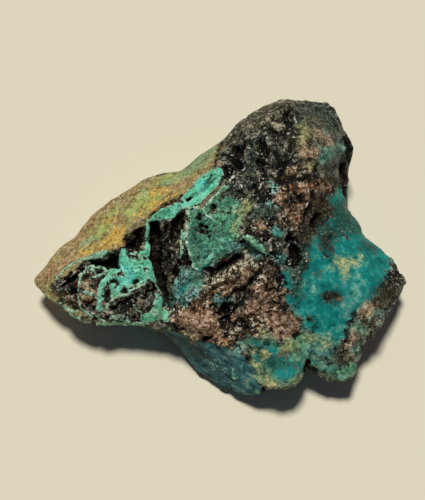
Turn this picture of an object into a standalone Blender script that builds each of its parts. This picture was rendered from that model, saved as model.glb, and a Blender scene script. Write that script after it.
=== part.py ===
"""A rough hand specimen of turquoise grown in dark host rock: one closed stone with a flat resting face.

The stone is drawn as lines of points in millimetres.  Every line runs over the stone from its left
tip to its right tip, and together the lines go once round it: up the front, over the top, down the
back and under the foot.  Neighbouring lines are joined by triangles and the long edges are divided.
Lumps, clefts, pits and raised veins are then worked into that skin, and a rough grain is laid over
it.  The resting face stays flat.
"""

import bpy
import bmesh
from mathutils import Vector, noise

MM = 0.001

# Where all the lines start and end: the two pointed ends of the stone.
LEFT_TIP = (-26.6, -4.7, 4.4)
RIGHT_TIP = (26.7, -4.8, 4.6)

# The lower edge of the front: an overhang under the left arm, a steep foot in the middle, and the
# overhanging corner and lobe on the right.
FRONT_FOOT = [
    (-24.4, -7.1, 4.8), (-22.1, -9.1, 5.4), (-19.5, -10.5, 5.5), (-16.9, -11.2, 5.1),
    (-13.9, -11.0, 4.8), (-10.4, -11.3, 4.9), (-8.5, -12.0, 4.7), (-7.1, -12.7, 3.8),
    (-6.2, -13.2, 2.2), (-5.4, -14.2, 1.0), (-2.7, -16.9, 0.7), (0.8, -19.2, 1.0),
    (2.8, -20.5, 1.6), (5.0, -21.3, 3.2), (7.1, -21.0, 5.1), (9.6, -20.4, 5.4),
    (11.0, -19.4, 5.4), (12.2, -18.1, 4.8), (13.7, -18.9, 4.0), (15.3, -19.4, 3.9),
    (17.3, -19.5, 4.3), (18.7, -18.6, 4.7), (19.8, -16.2, 5.8), (21.1, -14.1, 5.5),
    (22.5, -11.8, 6.0), (24.0, -9.1, 6.2), (25.6, -6.6, 5.1),
]
# The edge where the top turns over into the steep front faces.
FRONT_RIM = [
    (-24.6, -7.1, 5.3), (-22.2, -9.2, 6.0), (-19.7, -10.9, 6.2), (-16.9, -11.9, 6.0),
    (-13.7, -11.7, 5.9), (-10.2, -11.7, 6.1), (-7.7, -12.0, 6.3), (-5.4, -12.7, 6.9),
    (-3.2, -13.9, 7.3), (-0.6, -15.1, 7.7), (1.7, -16.4, 7.5), (3.8, -18.2, 6.5),
    (5.7, -20.5, 5.5), (7.3, -21.2, 6.0), (9.5, -20.6, 6.2), (10.7, -19.5, 6.2),
    (11.8, -17.7, 6.2), (13.8, -18.2, 6.2), (15.5, -15.6, 7.3), (17.6, -12.4, 8.5),
    (20.3, -9.3, 8.7), (22.5, -6.8, 7.8), (24.6, -5.2, 6.6),
]
LOWER = [
    (-21.5, -8.5, 6.0), (-17.5, -10.0, 7.0), (-14.0, -10.5, 8.0), (-10.0, -10.0, 8.5),
    (-7.0, -10.0, 9.0), (-4.0, -10.5, 10.0), (-1.0, -10.0, 11.5), (2.0, -9.5, 12.5),
    (5.0, -9.5, 13.0), (8.0, -10.0, 12.5), (10.5, -11.5, 11.5), (13.0, -12.0, 10.5),
    (16.0, -11.0, 9.5), (19.5, -10.0, 9.0), (22.5, -7.5, 7.0),
]
WAIST = [
    (-21.5, -8.0, 7.0), (-18.0, -8.5, 8.5), (-14.0, -8.5, 9.5), (-10.5, -8.0, 10.0),
    (-8.0, -7.0, 11.0), (-5.5, -7.0, 12.0), (-2.0, -5.5, 14.0), (1.5, -4.0, 15.5),
    (4.0, -3.0, 16.5), (7.0, -1.5, 16.5), (9.5, -1.5, 15.5), (10.5, -4.5, 14.0),
    (12.5, -7.5, 12.0), (16.0, -8.5, 10.5), (19.5, -8.0, 9.5), (23.0, -7.0, 7.5),
]
MIDDLE = [
    (-22.0, -7.0, 7.5), (-18.5, -7.0, 9.0), (-15.0, -6.0, 10.0), (-11.5, -5.0, 11.0),
    (-8.5, -4.0, 11.5), (-6.5, -3.0, 12.5), (-3.5, -1.5, 14.0), (0.0, 0.5, 15.0),
    (3.5, 2.5, 16.0), (6.5, 4.0, 17.0), (9.5, 4.5, 16.5), (12.0, 3.5, 14.5),
    (12.5, -0.5, 13.0), (14.5, -3.5, 11.5), (18.0, -5.0, 10.0), (21.0, -6.0, 9.0),
    (23.5, -6.0, 7.5),
]
SHOULDER = [
    (-21.5, -6.0, 8.0), (-18.5, -5.0, 9.0), (-15.0, -4.0, 10.0), (-12.0, -3.0, 11.0),
    (-9.5, -1.0, 12.0), (-7.5, 0.5, 13.0), (-4.0, 2.0, 14.5), (-0.5, 4.5, 15.0),
    (1.5, 7.5, 16.0), (5.0, 8.5, 17.5), (8.5, 10.0, 18.0), (11.5, 10.5, 17.0),
    (15.0, 10.5, 14.5), (14.5, 7.0, 13.0), (14.5, 4.0, 11.5), (16.0, 0.5, 10.5),
    (18.5, -2.0, 9.5), (21.5, -4.0, 8.5), (24.0, -5.0, 7.0),
]
# The edge between the dark broken front and the weathered rind at the back.
CREST = [
    (-22.0, -5.0, 8.0), (-19.0, -3.5, 9.5), (-15.5, -3.0, 10.5), (-13.0, -2.0, 11.5),
    (-11.0, 0.5, 12.5), (-8.0, 3.0, 13.0), (-5.0, 4.5, 14.0), (-2.0, 7.0, 14.5),
    (0.5, 10.0, 15.0), (3.0, 11.5, 16.5), (6.0, 13.5, 17.5), (9.5, 16.0, 17.0),
    (12.5, 15.5, 16.0), (15.5, 15.0, 14.0), (17.5, 13.0, 11.5), (17.0, 10.0, 10.5),
    (17.0, 6.5, 9.5), (17.5, 3.0, 9.0), (20.0, 0.0, 8.0), (22.5, -2.0, 7.5),
    (24.0, -4.0, 6.5),
]
# The edge where the top turns over into the back.
BACK_BROW = [
    (-24.4, -2.2, 5.5), (-22.1, 0.8, 6.5), (-19.7, 2.1, 7.0), (-18.3, 5.3, 7.0),
    (-15.4, 7.2, 8.0), (-12.1, 8.8, 9.0), (-8.2, 10.4, 9.0), (-5.5, 10.6, 9.5),
    (-2.8, 13.2, 10.0), (0.7, 14.8, 12.0), (3.0, 16.9, 13.5), (6.4, 18.7, 14.5),
    (9.6, 19.9, 14.5), (12.3, 20.5, 13.0), (15.7, 21.0, 12.0), (17.9, 18.3, 11.0),
    (19.6, 14.7, 9.5), (18.2, 12.0, 8.5), (17.8, 8.1, 7.0), (18.5, 5.3, 6.5),
    (20.9, 1.5, 6.0), (23.6, -0.5, 6.0), (25.2, -2.5, 5.5),
]
BACK_BELLY = [
    (-24.5, -2.0, 4.0), (-21.5, 1.5, 4.0), (-18.0, 5.5, 4.0), (-14.5, 8.0, 4.5),
    (-9.0, 11.0, 5.0), (-5.0, 11.5, 6.0), (-1.0, 15.0, 7.0), (3.0, 17.8, 8.5),
    (7.0, 20.0, 9.0), (11.0, 20.8, 8.5), (16.0, 21.0, 7.5), (19.0, 18.0, 6.5),
    (20.0, 14.5, 6.0), (18.8, 10.0, 5.0), (19.0, 6.3, 4.5), (21.4, 2.2, 4.2),
    (24.2, -0.8, 4.2),
]
BACK_FOOT = [
    (-22.0, -1.5, 3.0), (-17.0, 2.5, 2.0), (-12.0, 6.0, 1.2), (-6.0, 9.5, 0.8),
    (0.0, 13.5, 0.7), (5.0, 17.0, 0.7), (10.0, 18.6, 0.8), (15.0, 18.5, 1.0),
    (17.5, 14.0, 1.0), (17.5, 9.0, 1.0), (18.0, 4.0, 1.2), (20.5, 0.0, 1.8),
    (23.5, -2.5, 2.8),
]
# The two sides of the resting face, which lies at height 0 and is broken off unevenly.
BACK_REST = [
    (-19.0, -3.4, 2.2), (-13.0, -2.0, 0.8), (-8.5, 2.5, 0.0), (-4.0, 5.0, 0.0),
    (-1.5, 9.5, 0.0), (3.5, 11.0, 0.0), (8.0, 14.2, 0.0), (12.0, 12.5, 0.0),
    (12.5, 8.0, 0.0), (14.8, 4.5, 0.0), (13.0, 0.0, 0.0), (15.2, -3.0, 0.0),
    (20.5, -4.2, 1.8),
]
FRONT_REST = [
    (-19.0, -6.0, 2.2), (-13.0, -6.8, 0.8), (-9.5, -7.5, 0.0), (-8.0, -11.0, 0.0),
    (-4.5, -12.0, 0.0), (-3.5, -15.2, 0.0), (0.5, -17.6, 0.0), (4.5, -15.2, 0.0),
    (7.0, -15.6, 0.0), (9.0, -12.4, 0.0), (13.0, -11.8, 0.0), (14.5, -8.0, 0.0),
    (20.5, -5.4, 1.8),
]
ROUND_THE_STONE = [
    FRONT_REST, FRONT_FOOT, FRONT_RIM, LOWER, WAIST, MIDDLE, SHOULDER, CREST,
    BACK_BROW, BACK_BELLY, BACK_FOOT, BACK_REST,
]

# Clefts and raised veins run along a few points and have a half width and a depth, negative where raised.
CREVICE = [(-9.4, 0.9, 12.5), (-9.2, -2.1, 11.6), (-8.3, -5.3, 11.0), (-7.6, -8.1, 10.0), (-7.0, -10.7, 8.5)]
ARM_CLEFT = [(-21.6, -6.2, 7.5), (-19.4, -4.8, 9.0), (-16.8, -3.9, 10.0), (-14.4, -4.1, 10.3)]
LIP_CLEFT = [(-2.6, -7.8, 12.0), (-0.6, -6.5, 13.0), (2.0, -5.4, 14.5), (4.8, -5.0, 15.5), (6.9, -5.6, 15.0)]
DARK_STREAK = [(2.9, -6.8, 14.5), (1.9, -9.4, 12.5), (0.6, -11.5, 10.5), (0.3, -13.6, 9.0)]
SIDE_NOTCH = [(17.9, 11.8, 9.5), (17.8, 9.4, 9.0), (17.7, 7.7, 8.0)]
CORNER_NOTCH = [(11.7, -18.1, 4.5), (11.8, -16.8, 6.5)]
BLUE_VEIN = [(3.1, -3.0, 16.0), (5.5, -4.8, 15.8), (7.8, -6.0, 15.3), (8.6, -7.6, 14.0), (8.9, -9.4, 12.5)]
CREST_BAND = [(-8.4, 1.9, 13.0), (-5.4, 3.5, 14.0), (-2.7, 5.4, 14.5), (0.1, 8.0, 15.0)]
CLEFTS = [
    (CREVICE, 1.9, 1.9), (ARM_CLEFT, 1.3, 1.4), (LIP_CLEFT, 1.2, 1.4), (DARK_STREAK, 1.3, 1.2),
    (SIDE_NOTCH, 1.5, 1.2), (CORNER_NOTCH, 1.2, 1.0), (BLUE_VEIN, 1.0, -0.5), (CREST_BAND, 1.3, -0.9),
]
# Pits and lumps have a centre, a radius and a depth, negative where raised.
PITS = [
    ((-11.5, -1.6, 11.7), 1.9, 1.2), ((-1.2, 2.1, 15.0), 1.1, 0.8), ((-2.1, -1.0, 14.0), 1.3, 0.9),
    ((-4.2, -5.4, 12.5), 1.2, 0.9), ((-5.6, 0.0, 13.5), 1.6, 0.8), ((14.8, -1.6, 11.5), 2.0, 0.6),
    ((15.4, -9.1, 10.0), 2.2, 0.5), ((9.6, -4.5, 14.5), 1.8, 0.7), ((10.9, 2.2, 15.0), 2.4, 0.6),
    ((14.2, 4.6, 12.0), 2.0, 0.8), ((2.8, 5.2, 16.5), 2.6, -0.6), ((5.7, 7.0, 17.5), 2.4, 0.5),
    ((11.0, 9.6, 17.0), 3.0, -0.5), ((14.7, 11.1, 14.5), 2.6, -0.6), ((-2.6, -12.0, 9.0), 3.0, -0.5),
    ((4.0, -13.8, 9.8), 3.5, -0.8), ((8.7, -15.4, 8.5), 3.0, 0.5), ((13.4, -14.7, 8.5), 2.6, -0.5),
]

# The longest edge left on the skin, near a cleft or pit, and on the flat resting face.
SKIN_EDGE = 1.6
WORKED_EDGE = 1.15
REST_EDGE = 6.0
DIVISION_ROUNDS = 4
# Rough grain: the size of its lumps and how far they move the skin.
GRAIN = [(6.0, 0.45), (2.6, 0.28), (1.2, 0.12)]
# Nothing but the resting face comes nearer than this to the surface underneath.
LEAST_CLEARANCE = 0.15
# How far each point moves towards the middle of its neighbours before the marks are worked in.
SOFTENING = 0.5

STONE_COLOUR = (0.06, 0.20, 0.17, 1.0)
STONE_ROUGHNESS = 0.6


def clear_scene():
    for item in list(bpy.data.objects):
        bpy.data.objects.remove(item, do_unlink=True)


def join_lines(skin, near, far):
    """Triangles between two lines that share both tips, always across the shorter diagonal."""
    a, b = 0, 0
    while a < len(near) - 1 or b < len(far) - 1:
        near_ends = a == len(near) - 1
        far_ends = b == len(far) - 1
        if far_ends:
            step_near = True
        elif near_ends:
            step_near = False
        else:
            near_gap = (near[a + 1].co - far[b].co).length
            far_gap = (far[b + 1].co - near[a].co).length
            step_near = near_gap < far_gap
        corners = [near[a], far[b], near[a + 1] if step_near else far[b + 1]]
        if len(set(corners)) == 3:
            skin.faces.new(corners)
        a += step_near
        b += not step_near


def skin_of_lines():
    """The closed skin that joins every line to the next one, and the last to the first."""
    skin = bmesh.new()
    left = skin.verts.new(LEFT_TIP)
    right = skin.verts.new(RIGHT_TIP)
    rows = []
    for line in ROUND_THE_STONE:
        rows.append([left] + [skin.verts.new(point) for point in line] + [right])
    for near, far in zip(rows, rows[1:] + rows[:1]):
        join_lines(skin, near, far)
    bmesh.ops.recalc_face_normals(skin, faces=skin.faces)
    return skin


def distance_to_path(point, path):
    best = float("inf")
    for start, end in zip(path, path[1:]):
        start, end = Vector(start), Vector(end)
        along = (point - start).dot(end - start) / (end - start).length_squared
        foot = start.lerp(end, min(max(along, 0.0), 1.0))
        best = min(best, (point - foot).length)
    return best


def falloff(distance, reach):
    """One at the middle of a mark and zero at its edge, smooth at both."""
    near = max(0.0, 1.0 - distance / reach)
    return near * near * (3.0 - 2.0 * near)


def depth_of_marks(point):
    depth = 0.0
    for path, reach, mark in CLEFTS:
        depth += mark * falloff(distance_to_path(point, path), reach)
    for centre, reach, mark in PITS:
        depth += mark * falloff((point - Vector(centre)).length, reach)
    return depth


def rests(vert):
    return vert.co.z < 1e-6


def longest_allowed(edge):
    if rests(edge.verts[0]) and rests(edge.verts[1]):
        return REST_EDGE
    middle = (edge.verts[0].co + edge.verts[1].co) / 2
    return WORKED_EDGE if abs(depth_of_marks(middle)) > 0.1 else SKIN_EDGE


def divide_long_edges(skin):
    for _ in range(DIVISION_ROUNDS):
        too_long = [edge for edge in skin.edges if edge.calc_length() > longest_allowed(edge)]
        bmesh.ops.subdivide_edges(skin, edges=too_long, cuts=1, use_single_edge=True)
        bmesh.ops.triangulate(skin, faces=[face for face in skin.faces if len(face.verts) > 3])


def soften(skin):
    """Rounds the straight creases between the lines a little, and leaves the resting face alone."""
    moving = [vert for vert in skin.verts if not rests(vert)]
    every_way = {"use_axis_x": True, "use_axis_y": True, "use_axis_z": True}
    bmesh.ops.smooth_vert(skin, verts=moving, factor=SOFTENING, **every_way)


def roughness(point):
    """How far the grain moves the skin outwards at a point."""
    return sum(height * noise.noise(point / size) for size, height in GRAIN)


def work_the_skin(skin):
    skin.normal_update()
    moves = []
    for vert in skin.verts:
        if not rests(vert):
            moves.append((vert, vert.normal * (roughness(vert.co) - depth_of_marks(vert.co))))
    for vert, move in moves:
        vert.co += move
        vert.co.z = max(vert.co.z, LEAST_CLEARANCE)


def centre_on_foot(skin):
    """The origin goes to the middle of the box, at the height of the resting face."""
    across = [vert.co.x for vert in skin.verts]
    along = [vert.co.y for vert in skin.verts]
    middle = Vector(((min(across) + max(across)) / 2, (min(along) + max(along)) / 2, 0.0))
    for vert in skin.verts:
        vert.co = (vert.co - middle) * MM


def stone_material():
    material = bpy.data.materials.new("turquoise_rock")
    material.use_nodes = True
    shader = material.node_tree.nodes["Principled BSDF"]
    shader.inputs["Base Color"].default_value = STONE_COLOUR
    shader.inputs["Roughness"].default_value = STONE_ROUGHNESS
    return material


def make_stone():
    skin = skin_of_lines()
    divide_long_edges(skin)
    soften(skin)
    work_the_skin(skin)
    centre_on_foot(skin)
    bmesh.ops.recalc_face_normals(skin, faces=skin.faces)
    mesh = bpy.data.meshes.new("stone")
    skin.to_mesh(mesh)
    skin.free()
    mesh.materials.append(stone_material())
    stone = bpy.data.objects.new("stone", mesh)
    bpy.context.scene.collection.objects.link(stone)
    return stone


clear_scene()
make_stone()
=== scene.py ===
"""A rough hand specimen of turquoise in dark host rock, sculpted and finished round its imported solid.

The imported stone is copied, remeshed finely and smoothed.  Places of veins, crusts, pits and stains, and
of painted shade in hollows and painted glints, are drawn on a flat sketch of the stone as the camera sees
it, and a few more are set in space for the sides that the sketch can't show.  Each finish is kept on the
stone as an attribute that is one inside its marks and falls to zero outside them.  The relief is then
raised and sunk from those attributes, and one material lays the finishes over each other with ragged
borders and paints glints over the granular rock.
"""

import math
from functools import reduce
from typing import NamedTuple

import bpy
import numpy as np
from bpy.props import FloatProperty, FloatVectorProperty, PointerProperty
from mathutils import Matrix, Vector, noise


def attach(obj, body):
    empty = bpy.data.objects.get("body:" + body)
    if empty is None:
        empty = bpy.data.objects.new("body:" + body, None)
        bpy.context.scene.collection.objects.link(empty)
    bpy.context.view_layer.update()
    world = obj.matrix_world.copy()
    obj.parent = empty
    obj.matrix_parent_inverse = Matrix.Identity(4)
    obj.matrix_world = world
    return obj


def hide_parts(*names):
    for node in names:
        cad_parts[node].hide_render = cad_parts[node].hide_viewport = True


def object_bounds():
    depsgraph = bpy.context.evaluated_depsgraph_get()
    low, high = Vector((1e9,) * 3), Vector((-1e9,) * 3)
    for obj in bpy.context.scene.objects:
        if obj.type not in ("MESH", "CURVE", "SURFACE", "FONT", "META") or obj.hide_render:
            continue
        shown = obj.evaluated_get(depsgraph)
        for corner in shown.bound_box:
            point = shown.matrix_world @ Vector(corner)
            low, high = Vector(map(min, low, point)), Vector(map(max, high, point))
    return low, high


bl_info = {
    "name": "Turquoise Specimen",
    "version": (1, 0, 0),
    "blender": (4, 5, 0),
    "location": "3D View > Sidebar > Specimen",
    "description": "Sculpts and finishes a rough turquoise specimen round its packed solid",
    "category": "Object",
}

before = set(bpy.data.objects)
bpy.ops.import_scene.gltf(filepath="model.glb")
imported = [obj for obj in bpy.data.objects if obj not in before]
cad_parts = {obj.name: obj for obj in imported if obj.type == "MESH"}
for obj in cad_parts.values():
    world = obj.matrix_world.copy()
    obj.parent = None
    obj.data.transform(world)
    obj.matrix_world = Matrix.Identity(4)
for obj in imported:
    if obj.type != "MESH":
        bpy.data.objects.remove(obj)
CAD_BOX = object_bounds()

MM = 0.001
NODE = "stone"
PIECE = "turquoise_stone"
SLOT = "turquoise_rock"
BAKE_MAP = "OFBake"

# The camera looks down on the stone from the front.  The sketch is what it sees, in its own pixels.
SKETCH_WIDTH = 425
SKETCH_HEIGHT = 500
CAMERA_TILT = math.radians(65)
CAMERA_DISTANCE = 136 * MM
CAMERA_TARGET = Vector((-0.98, -1.32, 8.0)) * MM
CAMERA_LENS = 70.0
CAMERA_SENSOR = 36.0
CAMERA_FORWARD = Vector((0.0, math.cos(CAMERA_TILT), -math.sin(CAMERA_TILT)))
CAMERA_UP = Vector((0.0, math.sin(CAMERA_TILT), math.cos(CAMERA_TILT)))
CAMERA_PLACE = CAMERA_TARGET - CAMERA_FORWARD * CAMERA_DISTANCE


def paint(red, green, blue):
    """A colour given as a display would show it, 0 to 255, as the shader's linear values."""
    return tuple(((value / 255 + 0.055) / 1.055) ** 2.4 if value > 10 else value / 255 / 12.92
                 for value in (red, green, blue))


# ---------------------------------------------------------------------------------------------------
# Marks.  A stroke is a chain of discs on the sketch: place across, place down and radius, in pixels.
# ---------------------------------------------------------------------------------------------------

RIND = [
    [(40, 281, 8), (60, 262, 15), (80, 247, 15), (100, 230, 23), (118, 222, 25), (135, 206, 21),
     (150, 196, 18), (165, 189, 15), (180, 183, 12), (195, 170, 11), (208, 158, 9), (217, 147, 6)],
    [(34, 284, 8), (44, 292, 7), (57, 298, 4)],
]
OCHRE = [
    [(98, 248, 2), (108, 243, 4), (116, 238, 7), (121, 232, 5), (125, 227, 2)],
    [(80, 255, 1), (88, 250, 2), (96, 247, 2)],
    [(134, 216, 0.5), (144, 210, 1.5), (154, 206, 2), (166, 199, 1.5), (178, 194, 0.5)],
    [(106, 224, 1), (114, 219, 1.5)],
    [(150, 194, 1), (160, 190, 2), (170, 190, 1)],
]
RUST = [
    [(36, 281, 6), (48, 273, 8), (60, 265, 8), (72, 258, 6), (84, 250, 4)],
    [(66, 250, 3), (78, 240, 4), (86, 228, 5), (96, 216, 6), (108, 205, 6), (120, 198, 5), (132, 193, 3)],
    [(150, 190, 3), (162, 186, 4), (174, 186, 4), (188, 177, 4), (198, 170, 3), (210, 163, 2)],
]
MOSS = [
    [(95, 236, 2), (100, 231, 4), (105, 226, 3)],
    [(100, 220, 1.5), (110, 214, 2), (120, 208, 1)],
    [(130, 212, 4), (138, 204, 7), (148, 199, 7), (156, 196, 4)],
    [(92, 236, 2), (90, 230, 2)],
    [(140, 194, 2), (150, 189, 2), (160, 182, 3), (172, 178, 5), (184, 172, 7), (196, 163, 7),
     (206, 154, 6), (214, 147, 4)],
    [(86, 286, 3), (88, 296, 4)],
]
SAGE = [
    [(215, 148, 3), (206, 154, 6), (198, 161, 7), (190, 168, 6), (181, 174, 4)],
    [(172, 180, 2), (160, 186, 1.5)],
    [(146, 190, 1.5)],
    [(92, 240, 1), (86, 246, 1.5)],
]
COPPER = [
    [(176, 316, 6), (188, 308, 10), (200, 298, 11), (214, 286, 11), (230, 277, 12), (246, 270, 10),
     (262, 266, 8), (274, 270, 8)],
    [(182, 322, 7), (200, 318, 15), (215, 322, 13), (226, 322, 9)],
    [(236, 296, 9), (250, 292, 14), (266, 290, 17), (276, 296, 12)],
    [(240, 318, 13), (256, 316, 15), (272, 312, 15), (284, 320, 13), (290, 330, 6)],
    [(196, 334, 6), (214, 340, 6), (232, 336, 7), (250, 334, 6)],
    [(218, 260, 3), (232, 256, 3.5), (246, 250, 3)],
    [(280, 196, 7), (286, 206, 9), (294, 220, 11), (302, 208, 10), (300, 194, 8), (292, 190, 6)],
    [(303, 188, 6), (312, 184, 6), (320, 186, 6), (326, 196, 6), (322, 208, 6)],
    [(290, 240, 5), (284, 250, 5)],
    [(272, 178, 3), (284, 176, 4), (296, 172, 4)],
]
SLATE = [
    [(164, 331, 3), (172, 336, 6), (180, 343, 10), (194, 353, 14), (210, 361, 17), (228, 370, 18),
     (244, 381, 13), (254, 391, 8)],
    [(206, 348, 4), (222, 355, 8), (238, 364, 9), (250, 377, 8)],
]
GREY = [
    [(234, 124, 4), (244, 118, 7), (256, 111, 8), (270, 106, 6), (286, 102, 6)],
    [(238, 132, 5), (250, 126, 6), (262, 121, 5)],
    [(300, 106, 6), (316, 108, 8), (326, 116, 9), (336, 130, 9), (342, 146, 8)],
    [(310, 124, 12), (318, 138, 13), (312, 152, 10), (326, 156, 9), (330, 168, 7)],
    [(300, 140, 6), (304, 164, 5)],
    [(226, 148, 3), (232, 141, 4)],
    # This band paints streaks of glints across the copper, as painted highlights.
    [(206, 283, 4), (217, 278, 5.4), (230, 274, 6), (242, 268, 6.4), (250, 258, 5)],
    [(278, 122, 8)],
    [(290, 146, 4)],
]
TEAL = [
    [(316, 240, 5), (318, 252, 10), (318, 268, 12), (309, 282, 11), (304, 294, 10), (306, 306, 12)],
    [(286, 274, 3), (288, 284, 4)],
    [(336, 198, 7), (340, 208, 9), (348, 220, 13), (358, 232, 14), (368, 244, 14)],
    [(322, 228, 6), (332, 222, 6)],
    [(339, 191, 3), (338, 197, 5)],
    [(338, 250, 15), (360, 260, 16), (380, 258, 9), (374, 274, 12), (352, 284, 20), (330, 284, 18)],
    [(322, 300, 20), (344, 304, 18), (362, 294, 12), (326, 322, 16), (336, 330, 10), (322, 344, 10)],
    [(322, 282, 12), (330, 272, 14), (338, 262, 14)],
    [(334, 336, 5), (322, 330, 8), (310, 322, 6)],
    [(374, 289, 9)],
    [(293, 301, 6)],
    [(268, 350, 4), (276, 356, 5)],
    [(296, 362, 5), (304, 366, 4)],
    [(276, 374, 3), (284, 376, 4)],
    [(186, 282, 3), (180, 290, 3)],
    [(206, 262, 3), (198, 266, 3)],
    [(278, 232, 2.4), (279, 236, 1.6)],
    [(256, 342, 4)],
    [(254, 358, 3), (266, 361, 6), (280, 361, 7), (293, 360, 5)],
    [(281, 372, 6), (291, 372, 5)],
]
HAZE = [
    [(193, 256, 3), (200, 262, 5), (210, 260, 5), (216, 256, 3)],
    [(196, 270, 7), (190, 278, 10), (182, 286, 9), (177, 296, 6), (172, 302, 3)],
    [(200, 282, 5), (192, 294, 5), (184, 302, 3)],
    [(256, 213, 3), (262, 209, 4), (272, 206, 4), (278, 210, 3)],
    [(206, 356, 2), (214, 364, 3), (225, 371, 2)],
    [(270, 182, 2), (276, 190, 3)],
    [(240, 248, 4), (234, 252, 3)],
    [(224, 254, 4), (230, 248, 4), (236, 242, 3)],
    [(182, 256, 3), (184, 268, 3)],
    [(112, 316, 1.5), (122, 318.5, 2), (130, 321, 1.5)],
    [(236, 350, 3), (244, 346, 4)],
    [(219, 299, 5), (229, 300, 4.4)],
    [(168, 297, 2), (170, 304, 3)],
    [(182, 300, 3), (188, 298, 3)],
    [(215, 256, 4), (209, 262, 4)],
    [(250, 254, 3)],
    [(278, 262, 6), (282, 258, 4)],
    [(252, 243, 5), (256, 252, 5)],
]
MIST = [
    [(248, 341, 5), (260, 345, 8), (276, 352, 10), (290, 358, 13), (300, 366, 9), (286, 376, 10),
     (270, 370, 9)],
    [(258, 356, 7), (254, 366, 5), (264, 378, 5)],
    [(302, 346, 8), (292, 344, 7)],
    [(302, 328, 5), (310, 338, 5)],
    [(322, 160, 4), (331, 154, 6), (340, 148, 4)],
    [(360, 330, 5), (354, 346, 5)],
    [(372, 312, 4)],
    [(318, 338, 7), (326, 348, 8), (332, 356, 5)],
    [(304, 358, 7), (312, 350, 7), (314, 362, 5)],
    [(196, 280, 6)],
    [(266, 338, 5)],
    [(253, 252, 4)],
    [(342, 372, 7), (332, 370, 6), (320, 366, 5)],
    [(252, 388, 4), (258, 393, 4)],
]
PALE = [
    [(357, 289, 3), (352, 300, 5), (348, 313, 5)],
    [(310, 350, 10), (326, 348, 9), (326, 338, 7), (304, 360, 7)],
    [(304, 364, 4), (322, 362, 4)],
    [(304, 284, 3), (314, 290, 2)],
    [(342, 282, 1), (356, 276, 1)],
    [(324, 159, 5), (332, 154, 4)],
]
GREEN = [
    [(191, 212, 3), (193, 222, 4), (192, 234, 5), (190, 246, 4), (194, 256, 4), (198, 264, 4)],
    [(200, 212, 6), (206, 206, 6), (213, 199, 5.5), (220, 192, 4.5), (226, 186, 3)],
    [(222, 206, 7), (230, 202, 6), (237, 206, 5), (238, 214, 6), (234, 224, 7), (231, 234, 7),
     (224, 246, 7), (214, 256, 5)],
    [(202, 224, 8), (214, 222, 9), (226, 222, 9), (224, 236, 8), (212, 240, 9), (202, 244, 9)],
    [(206, 254, 8), (216, 248, 7), (212, 258, 5)],
    [(224, 183, 3), (225, 189, 2)],
    [(286, 350, 7), (300, 344, 7), (294, 358, 5)],
    [(342, 374, 5), (354, 366, 4)],
]
MURK = [
    [(251, 140, 3), (252, 152, 4.4), (252, 164, 5), (249, 174, 6), (246, 184, 6), (243, 194, 5)],
    [(304, 107, 7), (316, 111, 9), (328, 114, 10), (335, 125, 9)],
    [(254, 214, 5), (262, 209, 5), (271, 214, 5)],
    [(231, 196, 4), (236, 184, 4)],
    [(286, 240, 4), (282, 250, 4)],
    [(326, 122, 5)],
    [(190, 270, 3)],
    [(326, 170, 5), (334, 165, 5)],
    [(300, 120, 5)],
    [(221, 196, 3)],
    [(327, 297, 4), (336, 296, 3)],
]
DEEP = [
    [(338, 208, 8), (346, 212, 10), (342, 224, 8), (354, 228, 8)],
    [(308, 244, 4), (303, 258, 6), (298, 272, 5), (297, 286, 5), (299, 298, 4)],
    [(280, 262, 4)],
    [(272, 362, 6), (262, 356, 4), (284, 364, 4)],
    [(374, 248, 5), (362, 246, 5)],
    [(322, 224, 5), (330, 236, 5)],
    [(317, 272, 2)],
    [(198, 218, 3), (195, 240, 4), (200, 248, 4)],
    [(222, 226, 2.4), (216, 232, 3)],
    [(280, 360, 3)],
]
YELLOW = [
    [(251, 201, 1), (248, 205, 2), (244, 210, 3.4), (240, 215, 3.6)],
    [(240, 215, 3), (237, 223, 2.4), (235, 231, 2)],
    [(335, 262, 3), (344, 264, 5), (353, 261, 3)],
    [(345, 272, 3)],
    [(362, 257, 1)],
    [(306, 336, 3), (318, 340, 3), (326, 344, 4)],
    [(286, 343, 4), (293, 347, 4)],
    [(251, 362, 2.6), (256, 367, 3.6), (261, 374, 3), (267, 380, 4), (272, 386, 2.6)],
    [(248, 353, 1.6), (256, 351, 1.6), (264, 352, 1.4)],
    [(284, 388, 1.8), (292, 385, 2.2), (299, 379, 1.8)],
    [(268, 376, 2)],
    [(264, 334, 4)],
    [(302, 128, 3), (305, 136, 4.5), (304, 144, 3)],
    [(313, 165, 3)],
    [(55, 300, 3), (62, 307, 4.4), (69, 313, 4), (77, 318, 3)],
    [(160, 306, 1.6), (163, 311, 1.8), (158, 317, 1.6)],
    [(190, 332, 3.4), (196, 335, 3.4)],
]
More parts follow.
